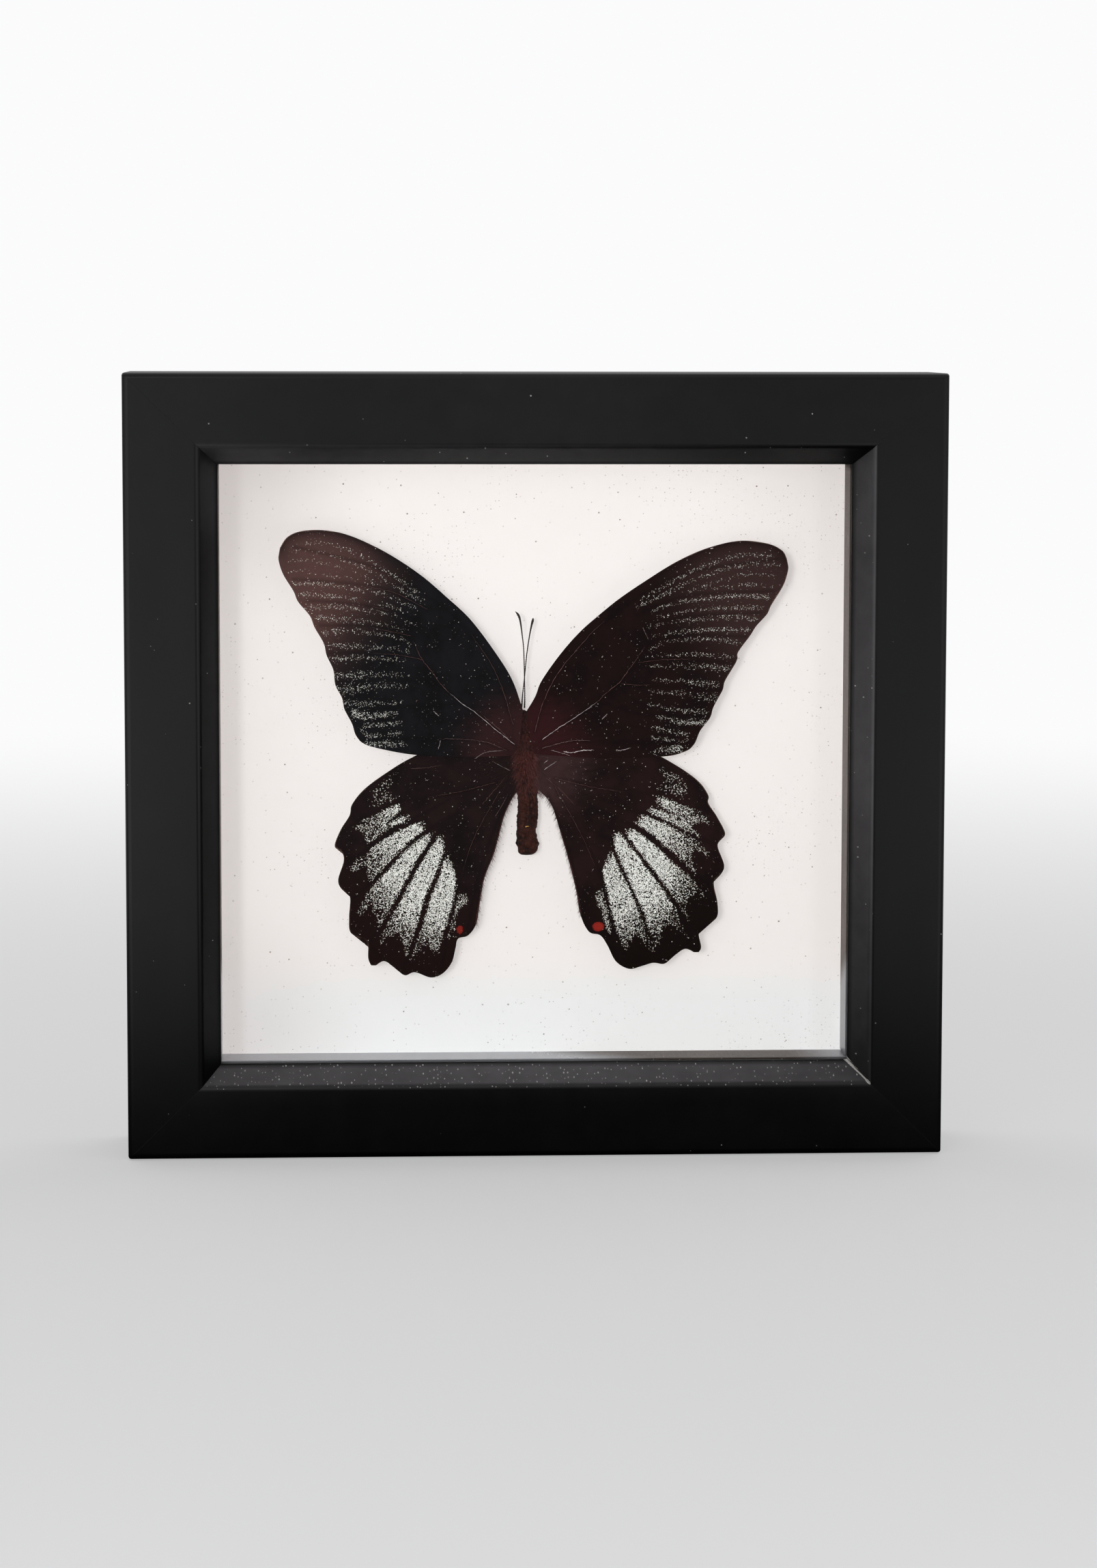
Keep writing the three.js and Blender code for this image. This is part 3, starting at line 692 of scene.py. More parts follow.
wings["forewing_right"] = {
    "leading": [
        (-1.7, 102.9), (0.3, 106.3), (1.8, 110), (6, 116), (10.5, 121.2), (14.7, 125), (20, 129.3),
        (26.5, 133.7), (33.5, 138), (40.5, 141.1), (48, 142.8), (54.5, 142.2), (58, 140.6),
        (59.2, 138.6),
    ],
    "trailing": [
        (-0.6, 92.8), (6, 92.3), (15, 91.9), (30, 92.1), (35.5, 93.3), (37.7, 95.1), (39.1, 98.2),
        (41.4, 101.3), (42.2, 103.8), (44.3, 107.8), (44.9, 110), (47.6, 114.7), (47.9, 116.7),
        (50.7, 120.6), (52.1, 122.8), (54.6, 125.6), (55.6, 127.7), (58.4, 132.4), (59.5, 136),
        (59.4, 137.5),
    ],
    "rays": [
        (0.9, 0.13, 1, 0.19, [(55.5, 139.2), (50.5, 139.6), (45.5, 138.8), (39, 136.5), (33, 133.7),
            (25.5, 129)]),
        (0.9, 0.12, 1, 0.17, [(57.2, 137.2), (51, 137.4), (45, 136.3), (37, 133.4), (31, 130.5),
            (25, 127.8)]),
        (0.8, 0.13, 0.7, 0.1, [(56, 134.8), (50, 135), (44, 133.8), (38.5, 131.7), (36, 130.7)]),
        (0.8, 0.14, 0.7, 0.08, [(55.8, 132.1), (50, 132.5), (44, 132), (37, 131)]),
        (1, 0.31, 0.8, 0.14, [(54.8, 129.6), (49, 130), (41, 129.3), (33, 128.3), (27.5, 126.3)]),
        (1, 0.19, 0.7, 0.1, [(53.3, 127.3), (43, 127), (35, 126.2), (27.5, 124.7)]),
        (1.2, 0.19, 0.8, 0.1, [(52.2, 124.5), (44.5, 124.9), (38.5, 124.5), (32.5, 123.8), (27, 122.6)]),
        (1.2, 0.24, 0.8, 0.14, [(50, 122), (42, 122), (34, 121.5), (28.3, 120.4)]),
        (1.2, 0.19, 0.6, 0.09, [(47.8, 118.8), (42.5, 119.7), (36.5, 119.7), (30.5, 119),
            (27.5, 117.5), (26.5, 115.7)]),
        (1.1, 0.17, 0.8, 0.1, [(46.2, 115.8), (41, 116), (37, 116.3), (31, 115.9), (26.5, 115.7)]),
        (1.7, 0.19, 0.9, 0.1, [(45, 112.8), (40, 113.3), (36, 113.6), (26.7, 113.3)]),
        (1.5, 0.19, 0.8, 0.09, [(43, 109), (37.5, 109.6), (27.5, 110.3)]),
        (1.7, 0.16, 0.7, 0.1, [(42.3, 106), (34.5, 106.9), (27, 107.5)]),
        (1.4, 0.21, 0.8, 0.1, [(40.3, 102.8), (34.5, 103), (27, 104.3)]),
        (1.4, 0.42, 0.9, 0.18, [(39.8, 100.2), (34, 100.3), (29.3, 101.5)]),
        (0.9, 0.2, 1.1, 0.17, [(28, 99), (32, 98.1), (35.4, 97.5), (36, 96.7), (34.5, 95.9), (28, 96.5)]),
        (1.8, 0.4, 1.2, 0.24, [(34.3, 93.9), (31, 93.7), (28.5, 93.4)]),
    ],
    "veins": [
        [(2, 96.2), (7.5, 100), (15, 105.2), (20, 109.6), (24, 115), (26.3, 118.6)],
        [(20.5, 109.3), (27.5, 109), (43.8, 108)],
        [(24.5, 114.3), (31, 115), (46.8, 114.3)],
        [(26.3, 118.6), (33, 120.5), (49.7, 120.4)],
        [(25.8, 122.3), (35, 125), (53, 126)],
        [(24, 125.5), (33, 129.3), (42, 130.6), (56, 131)],
        [(0.2, 98), (5, 110.8), (11.5, 119), (22, 128.3), (36, 135.3), (57, 138.6)],
        [(15, 105.2), (26, 102.2), (41, 101.7)],
        [(2, 94.2), (9, 95.9), (20, 95.6), (37.5, 95.2)],
    ],
}
wings["hindwing_left"] = {
    "leading": [
        (-3, 93.6), (-12, 95.2), (-21, 95), (-29, 91.8), (-35.1, 88.1), (-39.9, 84.5), (-42.7, 81),
        (-43.3, 78.4), (-45.4, 75), (-46.8, 71.2), (-45.2, 69.9), (-44.7, 67.6), (-46, 63.3),
        (-45.3, 61.1), (-43.3, 59.3), (-43.5, 54.4), (-43.3, 51), (-41.6, 49.7), (-39.2, 48.6),
        (-39, 44.5), (-38.3, 42.8),
    ],
    "trailing": [
        (-3.3, 84.6), (-5.1, 82), (-7, 77.7), (-9.2, 69.6), (-11.5, 63.6), (-12.6, 58), (-13.5, 52.6),
        (-15.4, 49.8), (-17.8, 49), (-18.4, 46.8), (-19.3, 43.4), (-21.4, 40.8), (-24.2, 39.8),
        (-28, 41.1), (-30.4, 40.4), (-32.7, 42.1), (-35.2, 43.8), (-37.2, 42.8),
    ],
    "fan": [
        (0.48, 0.3, [(-32, 87.8), (-36.4, 86), (-37.7, 83.9), (-37.7, 81.6), (-33.6, 82.1),
            (-34.1, 83.9), (-33.2, 85.7)]),
        (0.4, 0.3, [(-31.1, 83.5), (-35, 82), (-38.6, 80.8), (-38.6, 80), (-34.6, 81), (-32.3, 82.3)]),
        (0.95, 0.4, [
            (-31.6, 81), (-33.2, 80.7), (-36.4, 78.9), (-40, 77.5), (-42, 75.7), (-41.8, 74.6),
            (-39.8, 74.4), (-39.1, 71.4), (-36.4, 73.6), (-33.2, 75.8), (-30, 77), (-28.6, 77.8),
            (-29.1, 78.5), (-31.8, 77.8), (-34.5, 76.6), (-33.2, 78), (-31.1, 79.6),
        ]),
        (0.86, 0.4, [
            (-25, 76.6), (-25.9, 77.1), (-28.6, 76.2), (-31.8, 74.7), (-35, 72.8), (-38.2, 70.8),
            (-39.5, 68.9), (-41.4, 68), (-43.2, 66.2), (-43, 65), (-41.4, 65.5), (-39.3, 66.6),
            (-38.9, 62.3), (-35.9, 65), (-32.7, 68.7), (-29.1, 72.3), (-25.5, 75),
        ]),
        (0.9, 0.33, [
            (-23.2, 74.4), (-24.8, 74.1), (-27.7, 72.1), (-30.9, 69.3), (-34.5, 65.2), (-38.4, 61.2),
            (-40.2, 58.5), (-41.4, 55.7), (-41.1, 54.4), (-38.6, 57.1), (-36.7, 53.5), (-37, 50.7),
            (-34.6, 54.4), (-32.5, 58.5), (-30.1, 63), (-27.4, 68), (-24.6, 72.1),
        ]),
        (0.88, 0.3, [
            (-21.1, 73.9), (-22.3, 73.5), (-24.4, 70.3), (-27.1, 66.2), (-29.4, 61.6), (-31.7, 57.5),
            (-34, 53.5), (-35.9, 49.8), (-36.4, 46.6), (-35, 49.4), (-33.2, 49.8), (-31.8, 50.3),
            (-30.5, 45.3), (-29.8, 45), (-28.3, 49.8), (-26.9, 54.4), (-25.6, 58.9), (-23.7, 63),
            (-21.9, 67.5), (-21, 70.7),
        ]),
        (0.86, 0.27, [
            (-20.2, 69.6), (-20.9, 68.5), (-22.2, 63.9), (-24, 59.4), (-25.4, 54.8), (-26.7, 50.7),
            (-28.1, 47.5), (-29.1, 43.7), (-27.3, 45.7), (-26.4, 47.5), (-24.8, 47.5), (-23.6, 45),
            (-22.5, 45.7), (-21.7, 48.9), (-20.6, 52.5), (-19.2, 57.1), (-18.3, 61.6), (-18.6, 65.3),
            (-19.5, 68),
        ]),
        (0.62, 0.5, [
            (-16.6, 60.5), (-17.6, 60), (-18.3, 56.6), (-19.4, 52.5), (-20.1, 48.9), (-19.3, 49.1),
            (-18.4, 52.5), (-17.7, 55.7), (-16.4, 57.1), (-15.2, 57.5), (-15.7, 59.4),
        ]),
    ],
    "veins": [
        [(-9, 86), (-20, 83.4), (-30.5, 82), (-40.5, 77.8), (-45, 74.5)],
        [(-20, 82), (-29.2, 77), (-37, 72), (-44, 67.2)],
        [(-18, 79), (-25.2, 74.6), (-31.5, 68.7), (-44, 57.5)],
        [(-16, 77), (-22.6, 73.2), (-28.5, 65), (-33.3, 57.5), (-39.5, 46.5)],
        [(-15, 75), (-21, 71.5), (-25, 61.5), (-29.2, 46.5), (-31, 41.2)],
        [(-8, 85), (-14, 73), (-18.2, 60.4), (-20.5, 50), (-21.8, 41.5)],
        [(-6, 83), (-10.5, 72), (-14, 60), (-15.6, 50.5)],
    ],
    "red": (-17.4, 51.2, 0.8, 1.1, 0.55),
}
wings["hindwing_right"] = {
    "leading": [
        (-1, 93.6), (8, 95), (17, 95), (27, 93.2), (33.8, 89.8), (38.9, 86.1), (41.2, 82.8), (41.2, 81),
        (43.3, 77.7), (45.2, 73.8), (43.9, 72), (43.5, 70.5), (45, 66.3), (44.3, 64.1), (42.6, 62.2),
        (43.5, 57.2), (43.2, 53.6), (39.6, 51.7), (39.1, 49.7), (39.7, 46.8), (39.1, 45.5),
    ],
    "trailing": [
        (-0.4, 84.9), (1.7, 83.7), (4.3, 80.4), (6.2, 74.6), (8.6, 66.3), (10.1, 60), (11.1, 54.5),
        (13.1, 50.5), (15.8, 49.6), (17.5, 47.2), (19.5, 43.4), (22.6, 41.6), (25.5, 42.2), (28.3, 43),
        (31, 42.8), (33.2, 44.6), (35.8, 46.3), (38, 45.5),
    ],
    "fan": [
        (0.46, 0.4, [
            (29.5, 89.6), (31.5, 88.8), (34, 87.6), (36.5, 85.8), (36, 84), (36.6, 82), (34.6, 82.2),
            (32, 83.5), (29, 84.2), (28.6, 85.3), (31, 85.6), (31.3, 87), (29.5, 88.6),
        ]),
        (0.84, 0.45, [
            (28.4, 82.2), (29.2, 82.6), (30.3, 82.5), (32.7, 81.7), (35.1, 80.5), (37.6, 79.7),
            (40, 78.2), (41.5, 76.1), (40.6, 76.4), (38.9, 76.4), (38.1, 76.1), (36.1, 76.8),
            (34.3, 77.6), (33.5, 78), (32.2, 78.7), (31.1, 79.6), (29.3, 80.7),
        ]),
        (0.78, 0.6, [
            (26.1, 79.7), (27.2, 80.2), (28.7, 79.9), (30.8, 78.9), (32.6, 78.1), (33.5, 78.2),
            (35.1, 78.1), (36.8, 77.7), (37.9, 77.1), (37.7, 74.8), (38.9, 73.8), (39.1, 72.8),
            (37.1, 74), (35.2, 74.7), (32.9, 76), (30.8, 77), (29, 77.9), (27.1, 78.9),
        ]),
        (0.82, 0.35, [
            (23.9, 77.6), (24.8, 78.1), (25.6, 78.3), (27.9, 77.5), (29.8, 76.5), (31.3, 76),
            (33.1, 75), (35.2, 73.9), (37.6, 72.7), (39.4, 71.6), (41.5, 68.9), (41.9, 68),
            (40.5, 68.5), (38.7, 69.8), (37.4, 68.5), (37.8, 66.2), (38.7, 63.9), (36.9, 65.5),
            (34.6, 67.7), (31.9, 70), (29.6, 72.2), (27.4, 74), (25, 75.6), (23.3, 76.8),
        ]),
        (0.93, 0.24, [
            (21.2, 75.3), (23.3, 75), (25.5, 73.5), (27.8, 71.6), (30.5, 69.3), (33.3, 66.5),
            (36, 64.2), (38.3, 62.1), (39.6, 60.3), (40.8, 58.5), (38.7, 59.4), (36.9, 58.5),
            (36, 56.2), (36.9, 52.1), (35.5, 54.6), (34.2, 57.3), (32.4, 59.6), (30.1, 62.7),
            (27.8, 65.9), (25.5, 68.7), (23.3, 71.4), (21.7, 73.7),
        ]),
        (0.93, 0.14, [
            (18.7, 74.4), (20.5, 73.9), (22.4, 71.2), (25.1, 68), (27.8, 64.2), (30.5, 60.5),
            (32.4, 57.8), (34.2, 55), (35.1, 52.5), (36.5, 48.9), (35.1, 50.3), (33.3, 51.6),
            (31.9, 52.1), (30.5, 50.7), (29.9, 47.5), (28.5, 46.6), (27.5, 50.3), (26.3, 54.4),
            (24.7, 58), (22.9, 61.6), (21.1, 65.7), (19.5, 69.4), (18.8, 72.1),
        ]),
        (0.82, 0.27, [
            (17.6, 70), (18.7, 69.2), (20.4, 65.2), (22.3, 61.4), (24, 57.8), (25.4, 54.2),
            (26.7, 50.1), (28.7, 45.3), (27.4, 46.2), (25.5, 48.9), (24.2, 49.8), (22.8, 48),
            (22.1, 45.5), (21, 47.1), (19.8, 50.3), (18.7, 53.9), (17.8, 58), (17.1, 61.6),
            (16.2, 64.4),
        ]),
        (0.78, 0.6, [
            (14.4, 60.3), (16.5, 61), (16.9, 58), (17.6, 54.8), (18.6, 49.8), (17.8, 50.3),
            (16.7, 52.5), (16, 55.7), (14.6, 58),
        ]),
    ],
    "veins": [
        [(5, 87), (18, 84.3), (28.5, 83), (38.5, 78.7), (43, 76)],
        [(16, 82), (25.2, 78.8), (33.5, 75), (43.5, 71)],
        [(15, 79), (23.3, 75.8), (30, 70.5), (43.5, 60.5)],
        [(14, 77), (20, 74.3), (29, 63), (35.3, 53.5), (39.3, 48.5)],
        [(13, 75), (18.5, 71.7), (22.5, 61.8), (26.7, 52), (30.5, 43)],
        [(5, 85), (11, 74), (16.8, 62), (19, 51), (21, 43)],
        [(3.5, 83), (7.5, 72), (10.8, 60), (12.4, 52.4)],
    ],
    "red": (15.3, 51.7, 1.2, 1.0, 1.0),
}
wing_colours = {
    "forewing_left": ((15, 14, 16), (80, 56, 53), (46, 25, 26)),
    "forewing_right": ((20, 9, 9), (52, 36, 34), (46, 19, 20)),
    "hindwing_left": ((23, 14, 14), (23, 9, 9), (27, 17, 17)),
    "hindwing_right": ((25, 13, 13), (14, 5, 4), (56, 38, 38)),
}


def wing_finish(name, disc, margin, root, scale_size, thin, thick):
    """Dark scales over a brown membrane. They are rubbed thin at the tip and the margin, and hairy
    at the root. A white scale is a dot in a cell of a Voronoi pattern, drawn for the share of cells
    that is painted on the mesh, and for a few cells all over the wing. In patches the share is thin
    or thick times the painted one."""
    material, shader = finish(name + " scales")
    flat = shader.flat()
    ragged = shader.noise(0.45, 3, 0.6)
    grain = shader.noise(0.16, 3, 0.7)
    cloud = shader.noise(7, 4, 0.6)
    fray = shader.noise(1.1, 3, 0.6, shader.stretched(3, 1, 1))
    brighter, darker, deep = (screen(*(factor * v for v in disc)) for factor in (1.3, 0.7, 0.6))
    dark = shader.mix(shader.step(cloud, 0.35, 0.7), brighter, darker)
    rubbed = shader.step(shader.painted("margin") + 0.3 * cloud - 0.15, 0.0, 1.0)
    dark = shader.mix(rubbed, dark, screen(*margin))
    near_root = shader.step(shader.painted("root") + 0.5 * fray - 0.25, 0.1, 0.9)
    dark = shader.mix(near_root, dark, screen(*root))
    speckle = shader.mix(grain, (0.25, 0.25, 0.25, 1), (1.75, 1.75, 1.75, 1))
    dark = shader.mix(0.6, dark, speckle, "MULTIPLY")
    dark = shader.mix(0.35 * shader.painted("vein"), dark, deep)
    rim = 0.6 * shader.painted("rim") * shader.step(cloud, 0.4, 0.7)
    dark = shader.mix(rim, dark, screen(150, 122, 102))
    white = shader.painted("white")
    share = white * shader.step(ragged, 0.3, 0.68, thin, thick) + 0.005 * cloud
    values = {"Vector": flat, "Scale": 1000 / scale_size}
    cell = shader.node("TexVoronoi", {"voronoi_dimensions": "2D"}, values, "Distance")
    chance = shader.node("SeparateColor", None, {0: cell.output("Color")})
    drawn = chance.output("Red") < share
    radius = 0.3 + 0.2 * chance.output("Green") + 0.15 * white
    scale = drawn * shader.drop(cell - radius, 0.0, 0.12)
    lustre = shader.step(chance.output("Blue") + 0.5 * white, 0.1, 0.9)
    pale = shader.mix(lustre, screen(132, 122, 104), screen(246, 246, 241))
    colour = shader.mix(scale, dark, pale)
    spot = shader.painted("red")
    red = shader.step(spot + 0.9 * ragged - 0.45, 0.28, 0.42) * (0.3 + 0.8 * spot)
    colour = shader.mix(red, colour, shader.mix(grain, screen(78, 8, 6), screen(174, 50, 40)))
    dust = shader.specks(0.55, 0.2 * shader.step(cloud, 0.35, 0.7), 0.04, flat)
    colour = shader.mix(0.8 * dust, colour, screen(216, 208, 200))
    relief = shader.bump(grain + 0.6 * scale, 0.02)
    solid(shader, colour, 0.75 + 0.15 * grain, relief, Specular_IOR_Level=0.04)
    return material


lit_pieces = []
for name, drawing in wings.items():
    fore = name.startswith("fore")
    plane = FORE if fore else HIND
    grid, vein = wing_grid(drawing["leading"], drawing["trailing"], plane, drawing["veins"], 250, 150)
    x, z = grid[..., 0], grid[..., 2]
    if fore:
        white = ray_share(x, z, drawing["rays"])
        edge = nearest(x, z, spline(drawing["leading"], 60))[0]
        margin = smooth(np.abs(x - MIDLINE) + 0.7 * (z - 115), 30, 66) * (1 - 0.75 * np.exp(-edge / 3))
    else:
        white = fan_share(x, z, drawing["fan"])
        margin = smooth(73 - z + 0.3 * np.abs(x), 5, 35)
    root = 1 - smooth(np.hypot(x - MIDLINE, z - 92), 3, 24)
    red = np.zeros(x.shape)
    if "red" in drawing:
        cx, cz, rx, rz, level = drawing["red"]
        red = level * (1 - smooth(np.hypot((x - cx) / rx, (z - cz) / rz), 0.5, 1.6))
    outline = np.vstack([spline(drawing["trailing"], 120), spline(drawing["leading"], 120)[::-1]])
    rim = (1 - smooth(nearest(x, z, outline)[0], 0.03, 0.24)) * smooth(np.abs(x - MIDLINE), 28, 42)
    paint_on = {"white": white, "margin": margin, "root": root, "vein": vein, "red": red, "rim": rim}
    wing = sheet(name + "_membrane", grid, 0.14, paint_on)
    pattern = (0.155, 0.2, 1.6) if fore else (0.195, 0.35, 1.35)
    wing.data.materials.append(wing_finish(name, *wing_colours[name], *pattern))
    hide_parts(name)
    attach(wing, "root")
    lit_pieces.append(wing.name)

# --------------------------------------------------------------------- bare veins, scuffs and fibres
# Along some veins the scales have worn off, and the vein shows as a pale or brown line. Small curls
# of scale and fibre cling to the wings.


def strands(name, paths, radius, tone, sides=3, taper=2.0):
    """Strands along paths, an array of strands by points. A strand's section is a polygon whose
    corners lie at radius times 1 - t ** taper from its path, and it ends in a point. The radius is
    one number, or an array of strands by rings. Each strand's tone is painted on it."""
    count, steps = paths.shape[:2]
    rings = steps - 1
    share = (np.arange(rings) / rings)[None, :, None, None]
    run = np.diff(paths, axis=1)
    run /= np.linalg.norm(run, axis=2, keepdims=True)
    side = np.cross(run, [0, 1, 0.1])
    side /= np.linalg.norm(side, axis=2, keepdims=True)
    up = np.cross(run, side)
    angle = np.arange(sides) * 2 * math.pi / sides
    spoke = side[:, :, None] * np.cos(angle)[:, None] + up[:, :, None] * np.sin(angle)[:, None]
    thick = np.broadcast_to(radius, (count, rings))[:, :, None, None] * (1 - share**taper)
    walls = (paths[:, :-1, None] + spoke * thick).reshape(count, -1, 3)
    points = np.concatenate([walls, paths[:, -1:]], 1)
    each = points.shape[1]
    number = np.arange(sides * rings).reshape(rings, sides)
    ring = np.hstack([number, number[:, :1]])
    quads = np.stack([ring[:-1, :-1], ring[:-1, 1:], ring[1:, 1:], ring[1:, :-1]], -1).reshape(-1, 4)
    last = number[-1]
    point = np.stack([last, np.roll(last, -1), np.full(sides, each - 1)], -1)
    start = (np.arange(count) * each)[:, None, None]
    faces = (quads[None] + start).reshape(-1, 4).tolist()
    faces += (point[None] + start).reshape(-1, 3).tolist()
    faces += (number[:1, ::-1][None] + start).reshape(-1, sides).tolist()
    tones = np.repeat(np.broadcast_to(tone, (count,)), each)
    return built(name, points.reshape(-1, 3), faces, {"tone": tones})


def bent(roots, tips, bow, steps=5):
    """Paths from roots to tips that follow root + (tip - root) t + bow 4 t (1 - t)."""
    t = np.linspace(0, 1, steps + 1)[None, :, None]
    return roots[:, None] + (tips - roots)[:, None] * t + bow[:, None] * 4 * t * (1 - t)


bare, shader = finish("bare vein and fibre")
tone = shader.painted("tone")
flake = shader.noise(0.35, 3, 0.6)
dull = shader.mix(shader.step(tone, 0.0, 0.5), screen(62, 34, 32), screen(116, 80, 74))
colour = shader.mix(shader.step(tone + 0.7 * flake - 0.35, 0.45, 0.95), dull, screen(222, 210, 212))
solid(shader, colour, 0.6 + 0.2 * flake, shader.bump(flake, 0.02), Specular_IOR_Level=0.25)

# A line is (radius, tone, points): tone 0 is brown and 1 is white.
bare_lines = {
    "forewing_left": [
        (0.058, 0.95, [(-4.5, 95), (-8, 97.8), (-11, 100.3), (-14, 102.8), (-17, 104.8), (-20, 107.4)]),
        (0.048, 0.4, [(-20, 107.4), (-22, 109.5), (-24, 112.3), (-26.2, 115.1), (-27.3, 117.3),
            (-28.4, 119.7)]),
        (0.041, 0.3, [(-26.2, 115.1), (-28, 115.5), (-31, 116.1), (-34, 116.4), (-38, 116.7)]),
        (0.041, 0.3, [(-25, 126.8), (-29.9, 129.5), (-32.5, 130.7), (-34.5, 131.3), (-37, 131.8),
            (-41, 132.7)]),
        (0.034, 0.3, [(-34, 126.6), (-38, 127.6)]),
        (0.041, 0.25, [(-29, 120.7), (-32, 121.4), (-36, 122.2), (-39, 123)]),
        (0.041, 0.35, [(-5, 100), (-7, 107), (-9.5, 113), (-12, 117), (-15, 121.5)]),
        (0.041, 0.5, [(-6.5, 93.7), (-10, 95.3), (-14, 96.1), (-18, 96.4), (-23, 96.5)]),
        (0.041, 0.8, [(-13.8, 91.8), (-12, 93), (-9.5, 93.5), (-7, 93.6)]),
        (0.068, 0.45, [(-6, 96.5), (-8.5, 99), (-10.5, 100.6), (-12, 102)]),
        (0.082, 0.75, [(-23.5, 102.9), (-22.3, 101.8)]),
        (0.082, 0.7, [(-22, 96), (-22.2, 95), (-22.5, 94)]),
    ],
    "forewing_right": [
        (0.068, 1.0, [(2, 96.2), (4.5, 98), (7.5, 100), (10, 101.6), (13, 103.7), (15, 105.2)]),
        (0.048, 0.45, [(15, 105.2), (17.5, 107.6), (20, 109.6), (22, 112.3), (24, 115), (26.3, 118.6)]),
        (0.041, 0.3, [(20.5, 109.3), (24, 109), (27.5, 109)]),
        (0.041, 0.3, [(24.5, 114.3), (31, 115), (38, 115.1)]),
        (0.048, 0.5, [(0.2, 98), (1.5, 103), (3, 107), (5, 110.8), (8, 115), (11.5, 119), (14, 121.8),
            (17, 124.5)]),
        (0.048, 0.6, [(25.5, 122.5), (26.9, 119.5)]),
        (0.048, 0.6, [(2, 94.2), (5, 95), (9, 95.9), (13.5, 95.9)]),
        (0.109, 1.0, [(7, 93.3), (9, 93.1), (11.5, 93.6), (14.3, 93.7)]),
        (0.068, 0.9, [(19.3, 93.5), (21, 93.7), (22.8, 94.2)]),
        (0.041, 0.85, [(4, 93.7), (6.5, 93), (8.7, 92.3)]),
        (0.061, 0.8, [(16, 101), (17.3, 102.3)]),
        (0.109, 1.0, [(41.2, 141), (41.9, 141.1)]),
        (0.095, 1.0, [(14.7, 125.2), (15.2, 124.9)]),
    ],
    "hindwing_left": [
        (0.034, 0.55, [(-9, 78), (-7.5, 80.5), (-6, 83.5)]),
        (0.034, 0.45, [(-12, 81), (-8.5, 85), (-6, 88)]),
        (0.048, 0.7, [(-5.5, 88.8), (-7.5, 89.8), (-9.8, 91)]),
        (0.034, 0.5, [(-29, 89.4), (-25, 89.6), (-21.5, 90.2)]),
        (0.034, 0.3, [(-8, 84), (-14, 73), (-17, 64)]),
        (0.034, 0.35, [(-9, 86), (-17, 84), (-25, 82.6)]),
    ],
    "hindwing_right": [
        (0.061, 1.0, [(2.5, 89), (4, 90), (5.5, 91)]),
        (0.041, 0.8, [(2.4, 90.5), (3.4, 91.3)]),
        (0.034, 0.4, [(3, 87), (7, 83.5), (10, 80.2)]),
        (0.034, 0.3, [(5, 85), (11, 74), (15, 65)]),
        (0.034, 0.35, [(5, 87), (13, 85), (22, 83.6)]),
    ],
}
random = np.random.default_rng(11)
for name, lines in bare_lines.items():
    plane = FORE if name.startswith("fore") else HIND
    paths = []
    for radius, tone, points in lines:
        path = spline(points, 40)
        paths.append(path + 0.05 * random.standard_normal(path.shape))
    radii = [line[0] for line in lines]
    tones = [line[1] for line in lines]
    # Curls and flecks, strewn over the wing between its edges.
    drawing = wings[name]
    inner, outer = spline(drawing["trailing"], 40), spline(drawing["leading"], 40)
    for _ in range(46):
        k = random.integers(2, 38)
        middle = inner[k] + (outer[k] - inner[k]) * random.uniform(0.06, 0.94)
        size = random.uniform(0.1, 0.5) ** 1.6
        swing = random.uniform(0, 2 * math.pi) + np.linspace(0, random.uniform(0.3, 4), 41)
        curl = np.cumsum(np.stack([np.cos(swing), np.sin(swing)], -1), axis=0) * size / 20
        paths.append(middle + curl)
        radii.append(random.uniform(0.03, 0.075))
        tones.append(random.uniform(0.3, 1.0))
    paths = np.array(paths)
    x, z = paths[..., 0], paths[..., 1]
    paths = np.stack([x, wing_face(x, z, *plane) - 0.03, z], -1)
    worn = np.array(radii)[:, None] * random.uniform(0.25, 1.0, (len(radii), 40))
    scuffs = strands(name + "_scuffs", paths, worn, np.array(tones), 5, 6.0)
    scuffs.data.materials.append(bare)
    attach(scuffs, "root")
    lit_pieces.append(scuffs.name)

# ------------------------------------------------------------------------------ body and hairs
# The dried body: a hairy thorax between the wings, a shrunken abdomen with a torn skin, and the
# hairs of the thorax, of the wing roots and of the hindwings' inner edges.


def grown(name, stations, sides, rings, relief):
    """Rings are laid along a spline through stations (x, y, z, half width, half depth), and each
    ring point is pushed outwards by relief, a function of height and angle."""
    line = spline(stations, rings, 3)
    angle = np.linspace(0, 2 * math.pi, sides, endpoint=False)[None]
    centre, size = line[:, None, :3], line[:, None, 3:]
    push = relief(centre[..., 2], angle)
    x = centre[..., 0] + (size[..., 0] + push) * np.cos(angle)
    y = centre[..., 1] + (size[..., 1] + push) * np.sin(angle)
    z = centre[..., 2] + 0 * angle
    return surface(name, np.stack([x, y, z], -1))


def body_relief(z, angle):
    """Rings of the abdomen every 2.1 mm, and wrinkles whose height is a product of sines."""
    abdomen = smooth(-z, -84, -80)
    rings = 0.14 * np.abs(np.sin(z * math.pi / 2.1)) * abdomen
    wrinkles = 0.1 * np.sin(3 * angle + z * 0.9) * np.sin(z * 1.7 + angle)
    wrinkles = wrinkles + 0.06 * np.sin(7 * angle - z * 2.3)
    flap = -0.28 * abdomen * np.exp(-(((angle - 4.35) / 0.22) ** 2))
    crumbs = 0.12 * np.sin(9 * angle + 2.3 * z) * np.sin(4.1 * z - 3 * angle + np.sin(2.7 * z))
    ends = smooth(z, 69, 70.5) * smooth(-z, -102.6, -101)
    return (wrinkles + crumbs - rings + flap) * ends


